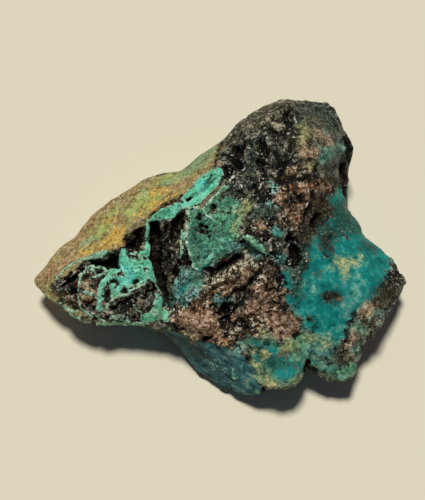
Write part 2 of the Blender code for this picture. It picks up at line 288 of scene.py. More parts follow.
TURQUOISE = [
    [(123.5, 251, 3), (124, 258, 5.2), (125, 265, 5.6), (130, 271, 7), (138, 273, 7)],
    [(121, 268, 4), (113, 271, 3.4), (109, 275, 3)],
    [(130, 262, 4), (140, 266, 6), (148, 263, 4), (151, 270, 4.4), (152, 277, 4.4), (155, 281, 2.4)],
    [(142, 277, 6), (132, 281, 5.5), (123, 281, 5), (115, 279, 3.6)],
    [(141, 255, 3), (147, 254, 3.6), (147, 247, 2), (145.5, 240, 2.2), (147, 232, 2.2), (148, 225, 2),
     (147, 221, 1.8)],
    [(108, 278, 3), (104.5, 282, 2.8), (101, 288, 2.8), (100.5, 295, 2.6), (103, 300, 2)],
    [(112, 285, 2.4), (114, 292, 2.6), (119, 289, 3), (122, 284, 3)],
    [(112, 297, 2), (118, 293.5, 2.4)],
    [(127, 286, 2), (128.5, 290, 1.8)],
    [(97, 298, 1.8), (98.5, 304, 2.4), (101, 309, 2.4)],
    [(158, 296, 2.6), (159, 301, 4), (157, 307, 4.4), (154, 312, 4)],
    [(145, 317, 5), (157, 315, 6)],
    [(165, 312, 2), (166, 319, 2.2)],
    [(150, 221, 2), (157, 217.5, 4), (164, 214, 5.4), (171, 212, 6.6), (178, 207, 4.6), (184, 203, 3.2)],
    [(184, 198, 3), (191, 194, 5), (199, 188, 7), (207, 182, 8), (214, 177, 8), (219, 173, 5)],
    [(186, 206, 2.2), (192, 204, 3.4), (198, 200, 4.6), (206, 192, 5), (214, 184, 5)],
    [(233.5, 372, 1.8), (235, 378, 2.2)],
    [(245.5, 238, 2.6), (252, 241, 3.2), (259, 247, 3), (264, 252, 2.4)],
    [(183, 233, 2.4), (183, 239, 2.4)],
    [(207, 262, 2.6), (212, 256, 2)],
]
VEINS = [
    [(56, 279.5, 0.8), (61, 274, 0.9), (66, 269, 0.9), (71, 265, 1), (76, 261.5, 1.1), (82, 259.5, 1.2),
     (87, 259, 1.8), (93, 257, 2.6), (99, 255, 3.2), (106, 252.5, 2.6)],
    [(247, 236, 1.2), (252, 239, 1.8), (258, 244, 1.4)],
    [(102, 313, 1.1), (105, 308, 1), (108, 304, 1.1), (113, 298.5, 1.2), (120, 296, 1.4),
     (128, 294.5, 1.4), (131, 291, 1.2), (137, 287, 1.2), (144, 283, 1.2), (149, 281, 1)],
    [(82, 276.5, 1.1), (84.5, 271, 1.1), (88, 267, 1.2), (92, 265.5, 1.1), (95.5, 268, 1.1),
     (100, 266.5, 1), (104, 268, 1.1), (107.5, 272, 1.3)],
    [(93, 278, 1.1), (97, 276, 1.2), (101, 274, 1.3), (106, 272, 1.3)],
    [(92, 270, 1.6), (95, 272, 1.4)],
    [(81, 278, 1.1), (79, 284, 0.9), (78, 292, 0.8), (78.3, 301, 0.8), (81, 308, 0.8), (85, 311.5, 1)],
    [(84, 311, 1), (91, 314, 1.2), (97, 316, 1.2), (104, 321, 1.1), (107, 322.5, 1)],
    [(82, 292, 1.6), (88, 293.5, 2), (94, 295, 1.5), (97, 299, 1.2)],
    [(112, 316, 1.1), (120, 317.5, 1.5), (127.5, 320.5, 1.5), (132, 323.5, 1.2)],
    [(70, 313, 1.2), (76, 318.5, 1.4), (81, 321.5, 1.4), (87, 324, 1.5), (94, 326, 1.5),
     (100, 323, 1.5), (108, 322, 1.6), (117, 323, 2), (127, 323.5, 1.8), (138, 323.5, 1.4),
     (147, 322.5, 1.6)],
    [(60, 303, 0.9), (66, 307, 1), (74, 312, 0.9)],
    [(133, 306, 0.7), (138, 310, 0.7), (143, 314, 0.8)],
    [(151.5, 291, 0.8), (151, 298, 0.9)],
    [(162, 288, 0.8), (163, 294, 0.8)],
    [(171, 284, 0.8), (170.5, 291, 0.8), (171, 298, 0.8)],
    [(168, 316, 0.8), (172, 308, 0.8)],
    [(154, 311, 2), (160, 318, 2)],
    [(155, 281, 0.8), (158, 286, 0.8), (160, 292, 0.8)],
    [(147, 220.5, 1), (152, 221, 1), (157, 222, 0.9)],
    [(151, 248, 0.8), (152, 241, 0.8), (151, 234, 0.8)],
    [(188, 212, 1), (189.5, 222, 1), (188.5, 230, 1.2), (184, 236, 1.2), (181.5, 243, 1.1),
     (181, 250, 1), (181, 257, 1)],
    [(187, 234, 1), (186, 243, 1), (189, 252, 1), (191, 260, 1.1), (193, 267, 1.1), (198, 270, 0.9)],
    [(187, 208, 1), (193, 208, 1), (199, 207, 0.9)],
    [(264, 252, 1.6), (268, 253, 1.2), (272, 256, 0.8)],
    [(203.5, 209, 0.8), (205, 214, 0.8), (209, 217.5, 0.8), (213, 219, 0.8)],
    [(203, 208.5, 0.7), (211, 200, 0.8), (220, 191, 0.8), (228, 182, 0.7)],
    [(131, 255, 1.2), (136, 253, 1.2), (139, 256, 1.2)],
]
# Black rock, and painted shade in the cavities, clefts, pits and notches that the relief also sinks.
DARK = [
    [(57, 289, 0.6), (66, 284, 1.4), (76, 274.5, 1.4), (84, 269, 0.8)],
    [(97, 264, 1.2), (104, 263.5, 2.8), (112, 265.5, 3.6), (118, 268, 2)],
    [(86, 276, 2.8)],
    [(98, 271, 1.6), (101, 270, 1.4)],
    [(108, 292, 2.2), (107, 297, 2.2)],
    [(122, 291, 1.4), (126, 290, 2)],
    [(111, 281.5, 1.4), (116, 281, 2), (118, 284.5, 1.2)],
    [(137, 281, 1.8), (134, 283, 2.2)],
    [(127, 238, 2.4), (129, 245, 3.4), (136, 246, 4.4), (139, 238, 4.4), (142, 230, 3), (134, 235, 4)],
    [(149, 286, 1.6), (147, 292, 1.6), (156, 290, 1.4)],
    [(92, 302, 1.8), (88, 304, 1.6)],
    [(112, 309, 1.8), (120, 304, 1.8), (128, 300, 1.6)],
    [(108, 317, 1.8)],
    [(134, 318, 1.8)],
    [(154, 225, 4), (156, 236, 5), (155, 247, 4.4), (156, 258, 5), (158, 269, 5.6), (161, 280, 4.6),
     (164, 289, 3.2), (167, 298, 1.6), (170, 307, 0.8)],
    [(166, 240, 2), (166, 252, 2.4), (168, 262, 2.4), (170, 272, 2)],
    [(184, 212, 2), (179, 218, 3.6), (174, 226, 4), (172, 236, 3.6), (176, 230, 4)],
    [(181, 226, 2.6), (184, 222, 2)],
    [(166, 225, 2), (163, 236, 1.6)],
    [(184, 258, 3), (188, 263, 3.6)],
    [(213, 207, 2.8)],
    [(199.5, 214.5, 2), (199, 218.5, 2.2)],
    [(201, 226, 2.4)],
    [(205.5, 227, 2.4)],
    [(202, 231, 2.6)],
    [(206.5, 232, 2.4)],
    [(210, 236, 1.8)],
    [(149, 217.5, 1.1), (156, 210.5, 1.4), (164, 205, 1.5), (172, 200.5, 1.4), (181, 195.5, 1.3)],
    [(190, 189, 0.9), (193, 186, 0.9)],
    [(181.5, 202, 1.2)],
    [(187, 200.5, 1.2), (191, 198.5, 1)],
    [(204, 186.5, 0.3), (208, 181, 0.6), (212.5, 176, 0.2)],
    [(215, 162, 1.3), (217, 155, 1.6), (219, 148, 1.5), (221, 143, 1.2)],
    [(225, 168, 2.6), (227, 174, 2)],
    [(206, 272, 1), (212, 273, 1.8), (222, 267, 2), (231, 261, 2), (240, 256, 1.4)],
    [(262, 270, 1), (252, 279, 2.2), (246, 284, 2.6), (236, 292, 2)],
    [(230, 303, 1.2), (225, 308, 1.4), (225, 320, 1), (226, 330, 0.8)],
    [(243, 296, 1), (240, 302, 1.2)],
    [(268, 262, 1.4), (276, 265, 1.6), (281, 276, 1.4)],
    [(290, 206, 1.6)],
    [(244, 322, 1.4)],
    [(203, 340, 2.4), (211, 338, 1.6)],
    # Painted shadow under the overhang on the right of the top lobe.
    [(344, 166, 4), (345, 177, 4.4), (345, 187, 3.6), (346, 195, 2.2)],
    [(312, 192, 1.8), (314, 199, 2)],
    [(296, 178, 1.2), (303, 180, 1.4), (310, 176, 1.6)],
    [(292, 199, 1.6), (296, 203, 1.4)],
    [(281, 208, 1.2)],
    [(306, 214, 2), (311, 206, 2.4)],
    [(236, 150, 4), (234, 160, 5), (240, 166, 3)],
    [(244, 142, 2.4), (242, 154, 2)],
    [(262, 140, 3), (266, 150, 3)],
    [(258, 162, 2), (264, 170, 2)],
    [(286, 116, 3), (290, 109, 2.4)],
    [(276, 154, 2.4), (282, 166, 2.4)],
    [(270, 128, 2), (280, 134, 2)],
    [(292, 140, 2), (290, 152, 2)],
    [(345, 138, 2.4), (350, 150, 3.6), (347, 158, 2.6)],
    [(318, 216, 4), (314, 224, 4)],
    [(290, 238, 2.6), (294, 248, 4), (298, 258, 4.4), (294, 266, 3)],
    # Painted shadow in the notch under the teal face's lower edge.
    [(308, 362, 2.4), (307, 370, 3.4)],
]
UMBER = [
    [(312, 196, 6), (322, 204, 8), (318, 218, 9), (328, 212, 6)],
    [(306, 228, 6), (314, 228, 5), (302, 238, 5)],
    [(326, 192, 5)],
    [(326, 180, 4), (338, 181, 4)],
    [(281, 302, 3), (286, 314, 4)],
    [(242, 314, 4)],
    [(182, 339, 2.4), (192, 347, 3), (204, 355, 2.4)],
    # Painted shade under the left lobe's rim, on the slate foot's upper end.
    [(160, 333, 4), (170, 340, 4)],
    [(324, 240, 5), (328, 247, 6), (331, 252, 4)],
    [(327, 297, 5.5), (336, 296, 5.5)],
    [(291, 204, 3)],
    [(268, 267, 3)],
    [(251, 295, 6), (255, 302, 4)],
    [(200, 302, 5)],
    [(386, 291, 10), (377, 300, 7)],
    [(288, 352, 5), (296, 350, 4)],
    [(338, 354, 5), (342, 363, 4)],
    # Painted shadow in the notch under the teal face's lower edge.
    [(308, 372, 4)],
    [(296, 364, 2)],
]
# Pale fibres with black gaps, with painted glints along them as highlights.
PALE_FIBRES_AND_GLINTS = [
    [(205, 288, 2.4), (216, 281, 3.6), (228, 274, 4.4), (240, 266, 4.4), (250, 257, 3.4)],
    [(252, 262, 3), (256, 268, 2)],
    [(264, 270, 2), (262, 280, 3), (258, 290, 2)],
    [(238, 330, 3), (232, 334, 3)],
    [(262, 316, 4), (266, 325, 7), (265, 333, 4)],
]
# Painted glints: tiny bright specks of colour that stand in for light glinting off crystals.
PAINTED_GLINTS = [
    [(229.5, 180, 0.4), (232, 177, 0.7), (235, 175, 0.5)],
    [(236, 177.5, 0.6), (238.5, 176, 0.3)],
    [(231, 183, 0.5), (233, 182, 0.3)],
    [(236, 189, 0.5), (239, 187.5, 0.3)],
    [(240.5, 185, 0.7), (242, 186.5, 0.5)],
    [(238, 191, 0.4)],
    [(243, 170, 0.4), (245, 168, 0.3)],
    [(249, 179, 0.4), (248, 182, 0.3)],
    [(259, 189, 0.4), (262, 185, 0.6)],
    [(268, 176, 0.6), (270, 179, 0.4)],
    [(295, 116, 0.4), (296, 122, 0.6)],
    [(270, 152, 0.6)],
    [(305, 207, 0.7), (307, 203, 0.5)],
    [(287, 250, 0.8), (291, 247, 0.7), (295, 244, 0.9)],
    [(279, 200, 0.9)],
    [(306, 190, 0.6)],
]
SEAM = [
    [(199, 207.5, 1.8), (209, 198, 2), (218, 189, 2), (227, 180.5, 1.6)],
    [(126, 233, 1.2), (134, 226, 1.5), (143, 220.5, 1.4)],
    [(216, 160, 1.6), (220, 150, 1.8), (223, 144, 1.4)],
]
SALMON = [
    [(307, 142, 3), (303, 152, 3)],
    [(320, 136, 2), (328, 142, 2)],
    [(278, 196, 2.6), (280, 202, 3)],
    [(306, 189, 3), (311, 194, 3)],
    [(304, 206, 2.6)],
    [(321, 188, 3.4)],
    [(313, 155, 4)],
    [(261, 225, 4)],
    [(253, 308, 3), (260, 315, 3)],
    [(274, 322, 8), (283, 326, 10), (291, 329, 7)],
    [(188, 318, 7), (198, 325, 12), (207, 327, 13), (212, 331, 6)],
    [(194, 338, 5)],
    [(183, 325, 5), (196, 329, 5)],
    [(255, 309, 6.5), (259, 313, 6)],
    [(267, 298, 4)],
    [(226, 289, 3), (237, 280, 4), (247, 271, 3)],
    [(266, 300, 3), (262, 288, 2.6)],
    [(236, 318, 3)],
    [(96, 290, 2), (97, 298, 1.6)],
    [(84, 282, 3), (86, 292, 4), (92, 302, 3)],
    [(362, 312, 5), (370, 306, 4)],
    [(350, 344, 4), (356, 336, 4)],
]
EMBER = [
    [(277, 200, 4), (284, 204, 5), (292, 214, 6), (304, 218, 6)],
    [(288, 182, 4), (298, 190, 5), (304, 200, 6), (304, 210, 5)],
    [(312, 184, 5), (322, 184, 6), (330, 190, 5), (326, 200, 5)],
    [(216, 257, 3), (228, 258, 3)],
    [(226, 286, 4), (236, 281, 5), (244, 275, 5), (249, 268, 4)],
    [(255, 308, 6)],
    [(250, 286, 4), (260, 298, 6), (262, 310, 5)],
    [(196, 306, 4), (202, 316, 6), (208, 326, 4)],
    [(218, 338, 4), (228, 342, 4)],
    [(236, 318, 5), (248, 330, 5)],
    [(272, 318, 7), (284, 322, 9), (294, 330, 7)],
    [(316, 154, 4), (314, 162, 3)],
    [(78, 282, 3.5)],
    [(74, 302, 5), (88, 300, 4)],
]
# Black rock, and painted shade in the crevices, clefts, hollows and gullies.
BLACK_AND_SHADE = [
    [(130, 240, 6), (138, 236, 6)],
    [(154, 228, 6), (156, 240, 7), (157, 256, 8), (159, 272, 7), (163, 286, 4), (166, 296, 1.5)],
    [(176, 228, 6), (172, 238, 3), (180, 218, 4)],
    [(180, 262, 5), (186, 263, 4)],
    [(64, 288, 2), (74, 279, 2)],
    [(98, 265, 2), (107, 266, 3), (115, 268, 3)],
    [(233, 142, 3), (237, 154, 7), (237, 166, 8), (232, 176, 5)],
    [(278, 170, 8)],
    [(302, 228, 4), (304, 236, 4), (299, 246, 4)],
    [(246, 178, 8), (258, 176, 7), (264, 164, 7), (262, 150, 6)],
    [(280, 164, 6), (286, 154, 3)],
    [(224, 168, 4), (228, 178, 3)],
    [(290, 238, 5), (296, 250, 7), (300, 262, 6)],
    [(203, 272, 2), (211, 273, 3.4), (222, 267, 2.8), (232, 261, 3), (242, 256, 2.4)],
    [(228, 295, 3), (237, 292, 5), (246, 284, 6), (256, 277, 5), (264, 268, 4)],
    [(227, 309, 5), (232, 308, 6), (238, 306, 5)],
    [(225, 315, 3), (226, 324, 2), (226, 331, 1.4)],
    [(236, 296, 3), (243, 300, 5), (250, 287, 3)],
    [(260, 262, 4), (268, 260, 4), (275, 264, 4), (279, 276, 5), (279, 288, 4)],
    [(242, 136, 4)],
    [(284, 112, 4), (290, 124, 5), (295, 136, 3)],
    [(288, 178, 2), (298, 178, 3.5), (308, 178, 3), (314, 180, 2)],
    [(292, 199, 2.6), (295, 207, 1.6)],
    [(300, 198, 2), (309, 202, 3)],
    [(286, 216, 3), (290, 228, 3)],
    [(246, 225, 4), (256, 230, 3), (268, 238, 3)],
    [(318, 210, 6), (314, 222, 6), (322, 198, 4)],
    [(240, 322, 6), (250, 328, 4)],
    [(270, 214, 3), (264, 218, 3), (282, 210, 3), (290, 200, 3)],
    [(304, 226, 4), (306, 214, 3)],
    [(126, 302, 5), (138, 298, 4), (146, 293, 2)],
    # Painted shadow under the overhang on the right of the top lobe.
    [(344, 166, 4), (346, 180, 5), (346, 192, 3)],
    [(350, 148, 7), (352, 158, 7), (346, 142, 5)],
    # Painted shadow in the notch under the teal face's lower edge.
    [(308, 368, 3)],
    [(341, 356, 3)],
    [(394, 277, 8), (391, 288, 6)],
    [(334, 114, 5), (337, 124, 5)],
]
MOTTLE = [
    [(304, 128, 8), (316, 132, 10), (328, 128, 9), (338, 140, 8)],
    [(306, 150, 8), (320, 150, 9), (334, 160, 8), (326, 170, 6)],
    [(312, 120, 5)],
    [(396, 286, 6), (388, 296, 8), (378, 306, 10), (366, 322, 11), (356, 338, 10), (362, 352, 9),
     (350, 366, 10), (338, 376, 9)],
    [(398, 292, 4)],
    [(216, 142, 2), (222, 150, 2), (222, 158, 2)],
]

# Crests and gullies that are too big for the marks: a chain, how far it rises in millimetres, less than
# zero where it sinks, and the width of its slope in pixels.
FORMS = [
    ([(184, 316, 6), (200, 316, 10), (208, 322, 6)], 0.8, 9),
    ([(212, 284, 3), (232, 275, 4), (250, 266, 3)], 0.5, 6),
    ([(266, 270, 2), (262, 290, 6), (250, 308, 6), (240, 318, 4)], 0.6, 8),
    ([(276, 298, 4), (284, 316, 7)], 0.5, 9),
    ([(252, 274, 3), (238, 292, 4), (225, 308, 4), (225, 328, 3)], -0.5, 8),
    ([(206, 271, 2), (222, 268, 2), (240, 260, 2)], -0.3, 5),
    ([(281, 198, 5), (290, 216, 6), (294, 226, 4)], 0.35, 7),
    ([(304, 188, 4), (304, 204, 4)], 0.25, 6),
    ([(318, 184, 4), (322, 200, 4)], 0.4, 7),
    ([(291, 240, 3), (297, 260, 5)], -0.9, 8),
    ([(188, 198, 2), (200, 189, 4), (212, 177, 4)], 0.5, 5),
    ([(124, 262, 3), (138, 270, 5), (150, 270, 3)], 0.3, 6),
    ([(92, 290, 4), (92, 304, 4)], -0.3, 8),
    ([(126, 304, 6), (140, 300, 5)], -0.4, 8),
    ([(155, 226, 2), (155, 258, 3), (162, 286, 2)], -0.8, 7),
    ([(176, 226, 4), (176, 236, 3)], -0.6, 7),
    ([(262, 152, 6), (270, 172, 5)], -0.4, 12),
    ([(236, 156, 5)], -0.6, 9),
    ([(282, 138, 3), (286, 158, 3)], 0.5, 9),
    ([(256, 142, 1), (256, 170, 2)], 0.5, 7),
    ([(270, 118, 2), (248, 130, 2)], 0.5, 8),
]
# The same for the stone's outline, which these push out or pull in.
OUTLINE = [
    ([(350, 214, 3), (358, 228, 3)], 0.4, 8),
    ([(300, 102, 2)], -0.3, 8),
    ([(347, 180, 3)], 0.3, 9),
    ([(350, 150, 4)], 0.25, 9),
]


class Marks(NamedTuple):
    """A finish's strokes, how far they fade and wander in pixels, and their edge's softness."""

    strokes: list
    fade: float
    wander: float
    softness: float


# The finishes in the order in which they are laid over each other.
SKETCHED = {
    "copper": Marks(COPPER, 14.0, 3.0, 0.1), "ember": Marks(EMBER, 18.0, 3.0, 0.3),
    "rind": Marks(RIND, 7.0, 1.0, 0.06), "rust": Marks(RUST, 18.0, 3.0, 0.3),
    "moss": Marks(MOSS, 14.0, 3.0, 0.25), "sage": Marks(SAGE, 16.0, 3.0, 0.3),
    "ochre": Marks(OCHRE, 18.0, 3.0, 0.2), "slate": Marks(SLATE, 7.0, 1.5, 0.06),
    "grey": Marks(GREY, 12.0, 3.0, 0.2), "mottle": Marks(MOTTLE, 16.0, 2.5, 0.3),
    "haze": Marks(HAZE, 13.0, 2.5, 0.2),
    "night": Marks(BLACK_AND_SHADE, 14.0, 3.0, 0.15), "straw": Marks(PALE_FIBRES_AND_GLINTS, 9.0, 2.0, 0.15),
    "mist": Marks(MIST, 18.0, 2.5, 0.3), "teal": Marks(TEAL, 16.0, 2.5, 0.25),
    "pale": Marks(PALE, 18.0, 2.5, 0.35),
    "green": Marks(GREEN, 9.0, 1.5, 0.08), "murk": Marks(MURK, 14.0, 2.5, 0.25),
    "deep": Marks(DEEP, 18.0, 2.5, 0.3),
    "umber": Marks(UMBER, 18.0, 2.5, 0.35), "yellow": Marks(YELLOW, 18.0, 1.5, 0.35),
    "salmon": Marks(SALMON, 14.0, 2.0, 0.3), "turquoise": Marks(TURQUOISE, 6.0, 1.0, 0.05),
    "seam": Marks(SEAM, 5.0, 0.8, 0.08), "veins": Marks(VEINS, 4.0, 0.6, 0.05),
    "dark": Marks(DARK, 6.0, 1.0, 0.06), "spark": Marks(PAINTED_GLINTS, 4.0, 0.6, 0.05),
}
EDGE_GRAIN = 1.5
# Skins with a pale rim just inside their borders, and how strong it is.
RIMMED = {"turquoise": 0.55, "green": 0.25}
RIM_COLOUR = paint(176, 214, 178)
# The colour of the painted glints, highlights painted onto the granular rock.
PAINTED_GLINT_COLOUR = paint(226, 222, 204)
# How deep the pores and grains look that only the shading shows, and the skin's weak shine.
PORE_DEPTH = 0.24 * MM
SHINE = 0.13
# Finishes as soft as this or softer blend in broad patches, and the crisper ones fray in fine grains.
SOFT = 0.25

# Patches for the sides that the sketch can't show: place and radius in millimetres.
ROUND_THE_BACK = {
    "rind": [(-25, -3, 4, 6), (-24, -6, 3, 4), (-20, 2, 5, 6), (-13, 8, 5, 7), (-6, 12, 6, 7),
             (0, 15, 8, 5), (-14, 4, 1, 6), (-4, 9, 0, 5)],
    "moss": [(-3, 14, 8, 3), (-9, 11, 5, 2.5)],
    "ochre": [(-15, 8, 5, 2.5), (-9, 11, 7, 1.8)],
    "slate": [(2, -17, 1, 4), (-3, -13, 1, 4), (8, -17, 1, 5), (-14, -9, 2, 3)],
    "grey": [(10, 21, 9, 4), (15, 20, 5, 4), (19, 16, 4, 3)],
    "teal": [(19, 6, 3, 4), (22, 2, 3, 4), (18, 11, 2, 3), (14, -15, 1, 3), (-10, -10, 2, 3)],
    "copper": [(5, 18, 4, 4), (16, -10, 1, 5), (-18, -5, 2, 3)],
    "turquoise": [(8, 20, 3, 1.4), (13, 21, 8, 1.3), (21, 0, 2, 1.4)],
    "green": [(12, 20, 2, 3), (24, -1, 3, 2)],
    "yellow": [(-21.5, -9.5, 5, 2.6)],
}
PATCH_FADE = 3.0
FINISHES = list(SKETCHED)

# The facets' tilts come from this seed, and from the clock without one.
TILT_SEED = 1

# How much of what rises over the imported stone's top is pressed back down.
OVER_TOP_PRESSED = 0.6

# The facets are halved left of this place across the sketch, where the marks are thinnest.
FINE_SIDE = 262
# The shares of the facets that are kept in the flat foot and on the sides turned away from the camera.
FOOT_KEPT = 0.05
HIDDEN_KEPT = 0.5
# The foot is what lies lower than this and faces down.
FOOT_SKIN = 0.15 * MM
FACES_DOWN = -0.97
# Surfaces that face the camera less than this are hidden from it.
HIDDEN_BELOW = -0.15
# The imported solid's corners that lie closer together than this are one corner.
SAME_CORNER = 0.0005 * MM
# The skin is mapped on the flat in pieces that bend less than this, with gaps of a share of the map.
MAP_BEND = math.radians(66)
MAP_GAP = 0.004


# ---------------------------------------------------------------------------------------------------
# Settings
# ---------------------------------------------------------------------------------------------------


def colour_setting(name, description, default):
    return FloatVectorProperty(
        name=name, description=description, subtype="COLOR", size=3, min=0.0, max=1.0, default=default)


class SpecimenColours(bpy.types.PropertyGroup):
    """The stone's main colours."""

    turquoise: colour_setting("Turquoise", "Bright skin and veins", paint(98, 194, 154))
    teal: colour_setting("Teal", "Smooth blue-green face", paint(16, 131, 124))
    green: colour_setting("Green", "Green crust with pits", paint(69, 134, 100))
    rind: colour_setting("Rind", "Dull weathered back", paint(158, 140, 96))
    ochre: colour_setting("Ochre", "Yellow stains on the rind", paint(202, 168, 81))
    copper: colour_setting("Copper", "Brown granular rock", paint(124, 96, 69))
    crust: colour_setting("Crust", "Black glinting crust", paint(36, 38, 30))
    slate: colour_setting("Slate", "Steep blue-grey foot", paint(61, 112, 117))
    cream: colour_setting("Cream", "Yellow-green patches", paint(164, 172, 112))
    floor: colour_setting("Floor", "Pale surface underneath", paint(226, 221, 197))


class SpecimenRelief(bpy.types.PropertyGroup):
    """Sizes of the sculpted surface."""

    detail: FloatProperty(
        name="Detail", description="Size of the facets, halved where the marks are thinnest",
        default=0.285 * MM, min=0.2 * MM, max=1.0 * MM, unit="LENGTH", precision=5)
    roughness: FloatProperty(
        name="Roughness", description="How strongly the broken rock juts out", default=1.0, min=0.0,
        max=3.0)
    vein_height: FloatProperty(
        name="Vein height", description="How far veins stand proud", default=0.16 * MM,
        min=0.0, max=1.0 * MM, unit="LENGTH", precision=5)
    cavity_depth: FloatProperty(
        name="Cavity depth", description="How far dark cavities sink", default=0.75 * MM,
        min=0.0, max=2.0 * MM, unit="LENGTH", precision=5)


class SpecimenStage(bpy.types.PropertyGroup):
    """Light round the stone."""

    key_power: FloatProperty(
        name="Key power", description="Strength of the high soft lamp", default=2.95, min=0.0, max=50.0)
    fill_strength: FloatProperty(
        name="Fill strength", description="Strength of the even light from all round", default=0.08,
        min=0.0, max=5.0)


def settings():
    scene = bpy.context.scene
    return scene.specimen_colours, scene.specimen_relief, scene.specimen_stage


# ---------------------------------------------------------------------------------------------------
# Sculpting helpers
# ---------------------------------------------------------------------------------------------------


def choose(item):
    """Makes one object the only selected and the active one."""
    bpy.ops.object.select_all(action="DESELECT")
    item.select_set(True)
    bpy.context.view_layer.objects.active = item


def points_of(mesh):
    found = np.empty(len(mesh.vertices) * 3, np.float32)
    mesh.vertices.foreach_get("co", found)
    return found.reshape(-1, 3).astype(float)


def normals_of(mesh):
    found = np.empty(len(mesh.vertices) * 3, np.float32)
    mesh.vertex_normals.foreach_get("vector", found)
    return found.reshape(-1, 3).astype(float)


def on_sketch(points):
    """Where the camera sees points, in the sketch's pixels."""
    away = points - np.array(CAMERA_PLACE)
    depth = away @ np.array(CAMERA_FORWARD)
    pixels = SKETCH_HEIGHT * CAMERA_LENS / CAMERA_SENSOR
    across = SKETCH_WIDTH / 2 + pixels * away[:, 0] / depth
    down = SKETCH_HEIGHT / 2 - pixels * (away @ np.array(CAMERA_UP)) / depth
    return np.stack([across, down], 1)


def facing_camera(points, normals):
    """One where the surface looks straight at the camera, and less than zero where it looks away."""
    away = points - np.array(CAMERA_PLACE)
    return -(away * normals).sum(1) / np.linalg.norm(away, axis=1)


def shown(facing):
    """One where the sketch shows the surface, and zero where it is hidden or too steep to draw on."""
    return smooth_step(-0.05, 0.15, facing)


def wandered(places, points, reach):
    """Places shifted by noise, so that the marks' edges wander by about the reach in pixels."""
    shift = np.stack([reach * (lumps(points, 1.1, seed) + 0.5 * lumps(points, 0.45, seed + 7))
                      for seed in (11.0, 23.0)], 1)
    return places + shift


def inside_chain(places, chain):
    """How far each place lies inside a chain of discs, negative outside."""
    best = np.full(len(places), -1e9)
    for start, end in zip(chain, chain[1:] or chain):
        a, b = np.array(start[:-1], float), np.array(end[:-1], float)
        span = b - a
        along = np.clip((places - a) @ span / max(span @ span, 1e-9), 0.0, 1.0)
        gap = np.linalg.norm(places - a - along[:, None] * span, axis=1)
        best = np.maximum(best, start[-1] + along * (end[-1] - start[-1]) - gap)
    return best


def field_of(inside, fade):
    """Half at a mark's edge, rising to one inside it and falling to zero outside."""
    return np.clip(0.5 + inside / fade, 0.0, 1.0)


def smooth_step(low, high, value):
    share = np.clip((value - low) / (high - low), 0.0, 1.0)
    return share * share * (3 - 2 * share)


def read_field(mesh, name):
    found = np.empty(len(mesh.vertices), np.float32)
    mesh.attributes[name].data.foreach_get("value", found)
    return found.astype(float)


def write_field(mesh, name, values):
    layer = mesh.attributes.get(name) or mesh.attributes.new(name, "FLOAT", "POINT")
    layer.data.foreach_set("value", values.astype(np.float32))


def lumps(points, size, seed=0.0):
    """Smooth noise between about -1 and 1 with lumps of a size in millimetres."""
    shift = Vector((seed, -seed, seed * 2))
    return np.array([noise.noise(Vector(point) / (size * MM) + shift) for point in points])


def facets(points, size, seed=0.0):
    """Broken facets of a size: how far each tilted plane stands out, and its own shade from 0 to 1."""
    noise.seed_set(TILT_SEED)
    shift = Vector((seed, -seed, seed * 2))
    heights, shades = [], []
    for point in points:
        place = Vector(point) / (size * MM) + shift
        centre = noise.voronoi(place)[1][0]
        tilt = noise.noise_vector(centre * 4.7)
        heights.append(size * tilt.dot(place - centre))
        shades.append(noise.cell(centre * 9.1))
    return np.array(heights), np.array(shades) % 1.0


# ---------------------------------------------------------------------------------------------------
# Shader writing
# ---------------------------------------------------------------------------------------------------


class Wire:
    """A shader socket that sums and products can be written with."""

    def __init__(self, tree, socket=None):
        self.tree = tree
        self.socket = socket

    def node(self, kind, setup=None, inputs=None, output=0):
        """Adds a node: its settings first, then the values or wires of its sockets."""
        made = self.tree.nodes.new(kind)
        for name, value in (setup or {}).items():
            if name == "stops":
                self.set_stops(made.color_ramp, value)
            else:
                setattr(made, name, value)
        for name, value in (inputs or {}).items():
            if isinstance(value, Wire):
                self.tree.links.new(value.socket, made.inputs[name])
            else:
                made.inputs[name].default_value = value
        return Wire(self.tree, made.outputs[output] if made.outputs else None)

    @staticmethod
    def set_stops(ramp, stops):
        while len(ramp.elements) < len(stops):
            ramp.elements.new(1.0)
        for element, (place, colour) in zip(ramp.elements, stops):
            element.position = place
            element.color = (*colour, 1.0)

    def maths(self, operation, other, swapped=False):
        values = {0: other, 1: self} if swapped else {0: self, 1: other}
        return self.node("ShaderNodeMath", {"operation": operation}, values)

    def __add__(self, other):
        return self.maths("ADD", other)

    __radd__ = __add__

    def __mul__(self, other):
        return self.maths("MULTIPLY", other)

    __rmul__ = __mul__

    def __sub__(self, other):
        return self.maths("SUBTRACT", other)

    def __rsub__(self, other):
        return self.maths("SUBTRACT", other, swapped=True)

    def upto(self, other):
        return self.maths("MINIMUM", other)

    def atleast(self, other):
        return self.maths("MAXIMUM", other)

    def step(self, low, high):
        """Zero below low, one above high and smooth between them."""
        setup = {"interpolation_type": "SMOOTHSTEP"}
        return self.node("ShaderNodeMapRange", setup, {"Value": self, "From Min": low, "From Max": high})

    def mix(self, low, high):
        """The colour low where this wire is zero and high where it is one."""
        inputs = {0: self, 6: low, 7: high}
        return self.node("ShaderNodeMix", {"data_type": "RGBA"}, inputs, output=2)

    def ramp(self, *stops):
        return self.node("ShaderNodeValToRGB", {"stops": stops}, {"Fac": self})

    def tones(self, *colours):
        """A ramp with the five places that suit a mottled finish."""
        return self.ramp(*zip((0.38, 0.46, 0.50, 0.54, 0.62), colours))


def full(colour):
    """A colour with its alpha."""
    return (*colour, 1.0)


def shade(colour, amount):
    """A lighter or darker colour, for a ramp's stops."""
    return tuple(min(1.0, value * amount) for value in colour)


# ---------------------------------------------------------------------------------------------------
# The stone
# ---------------------------------------------------------------------------------------------------


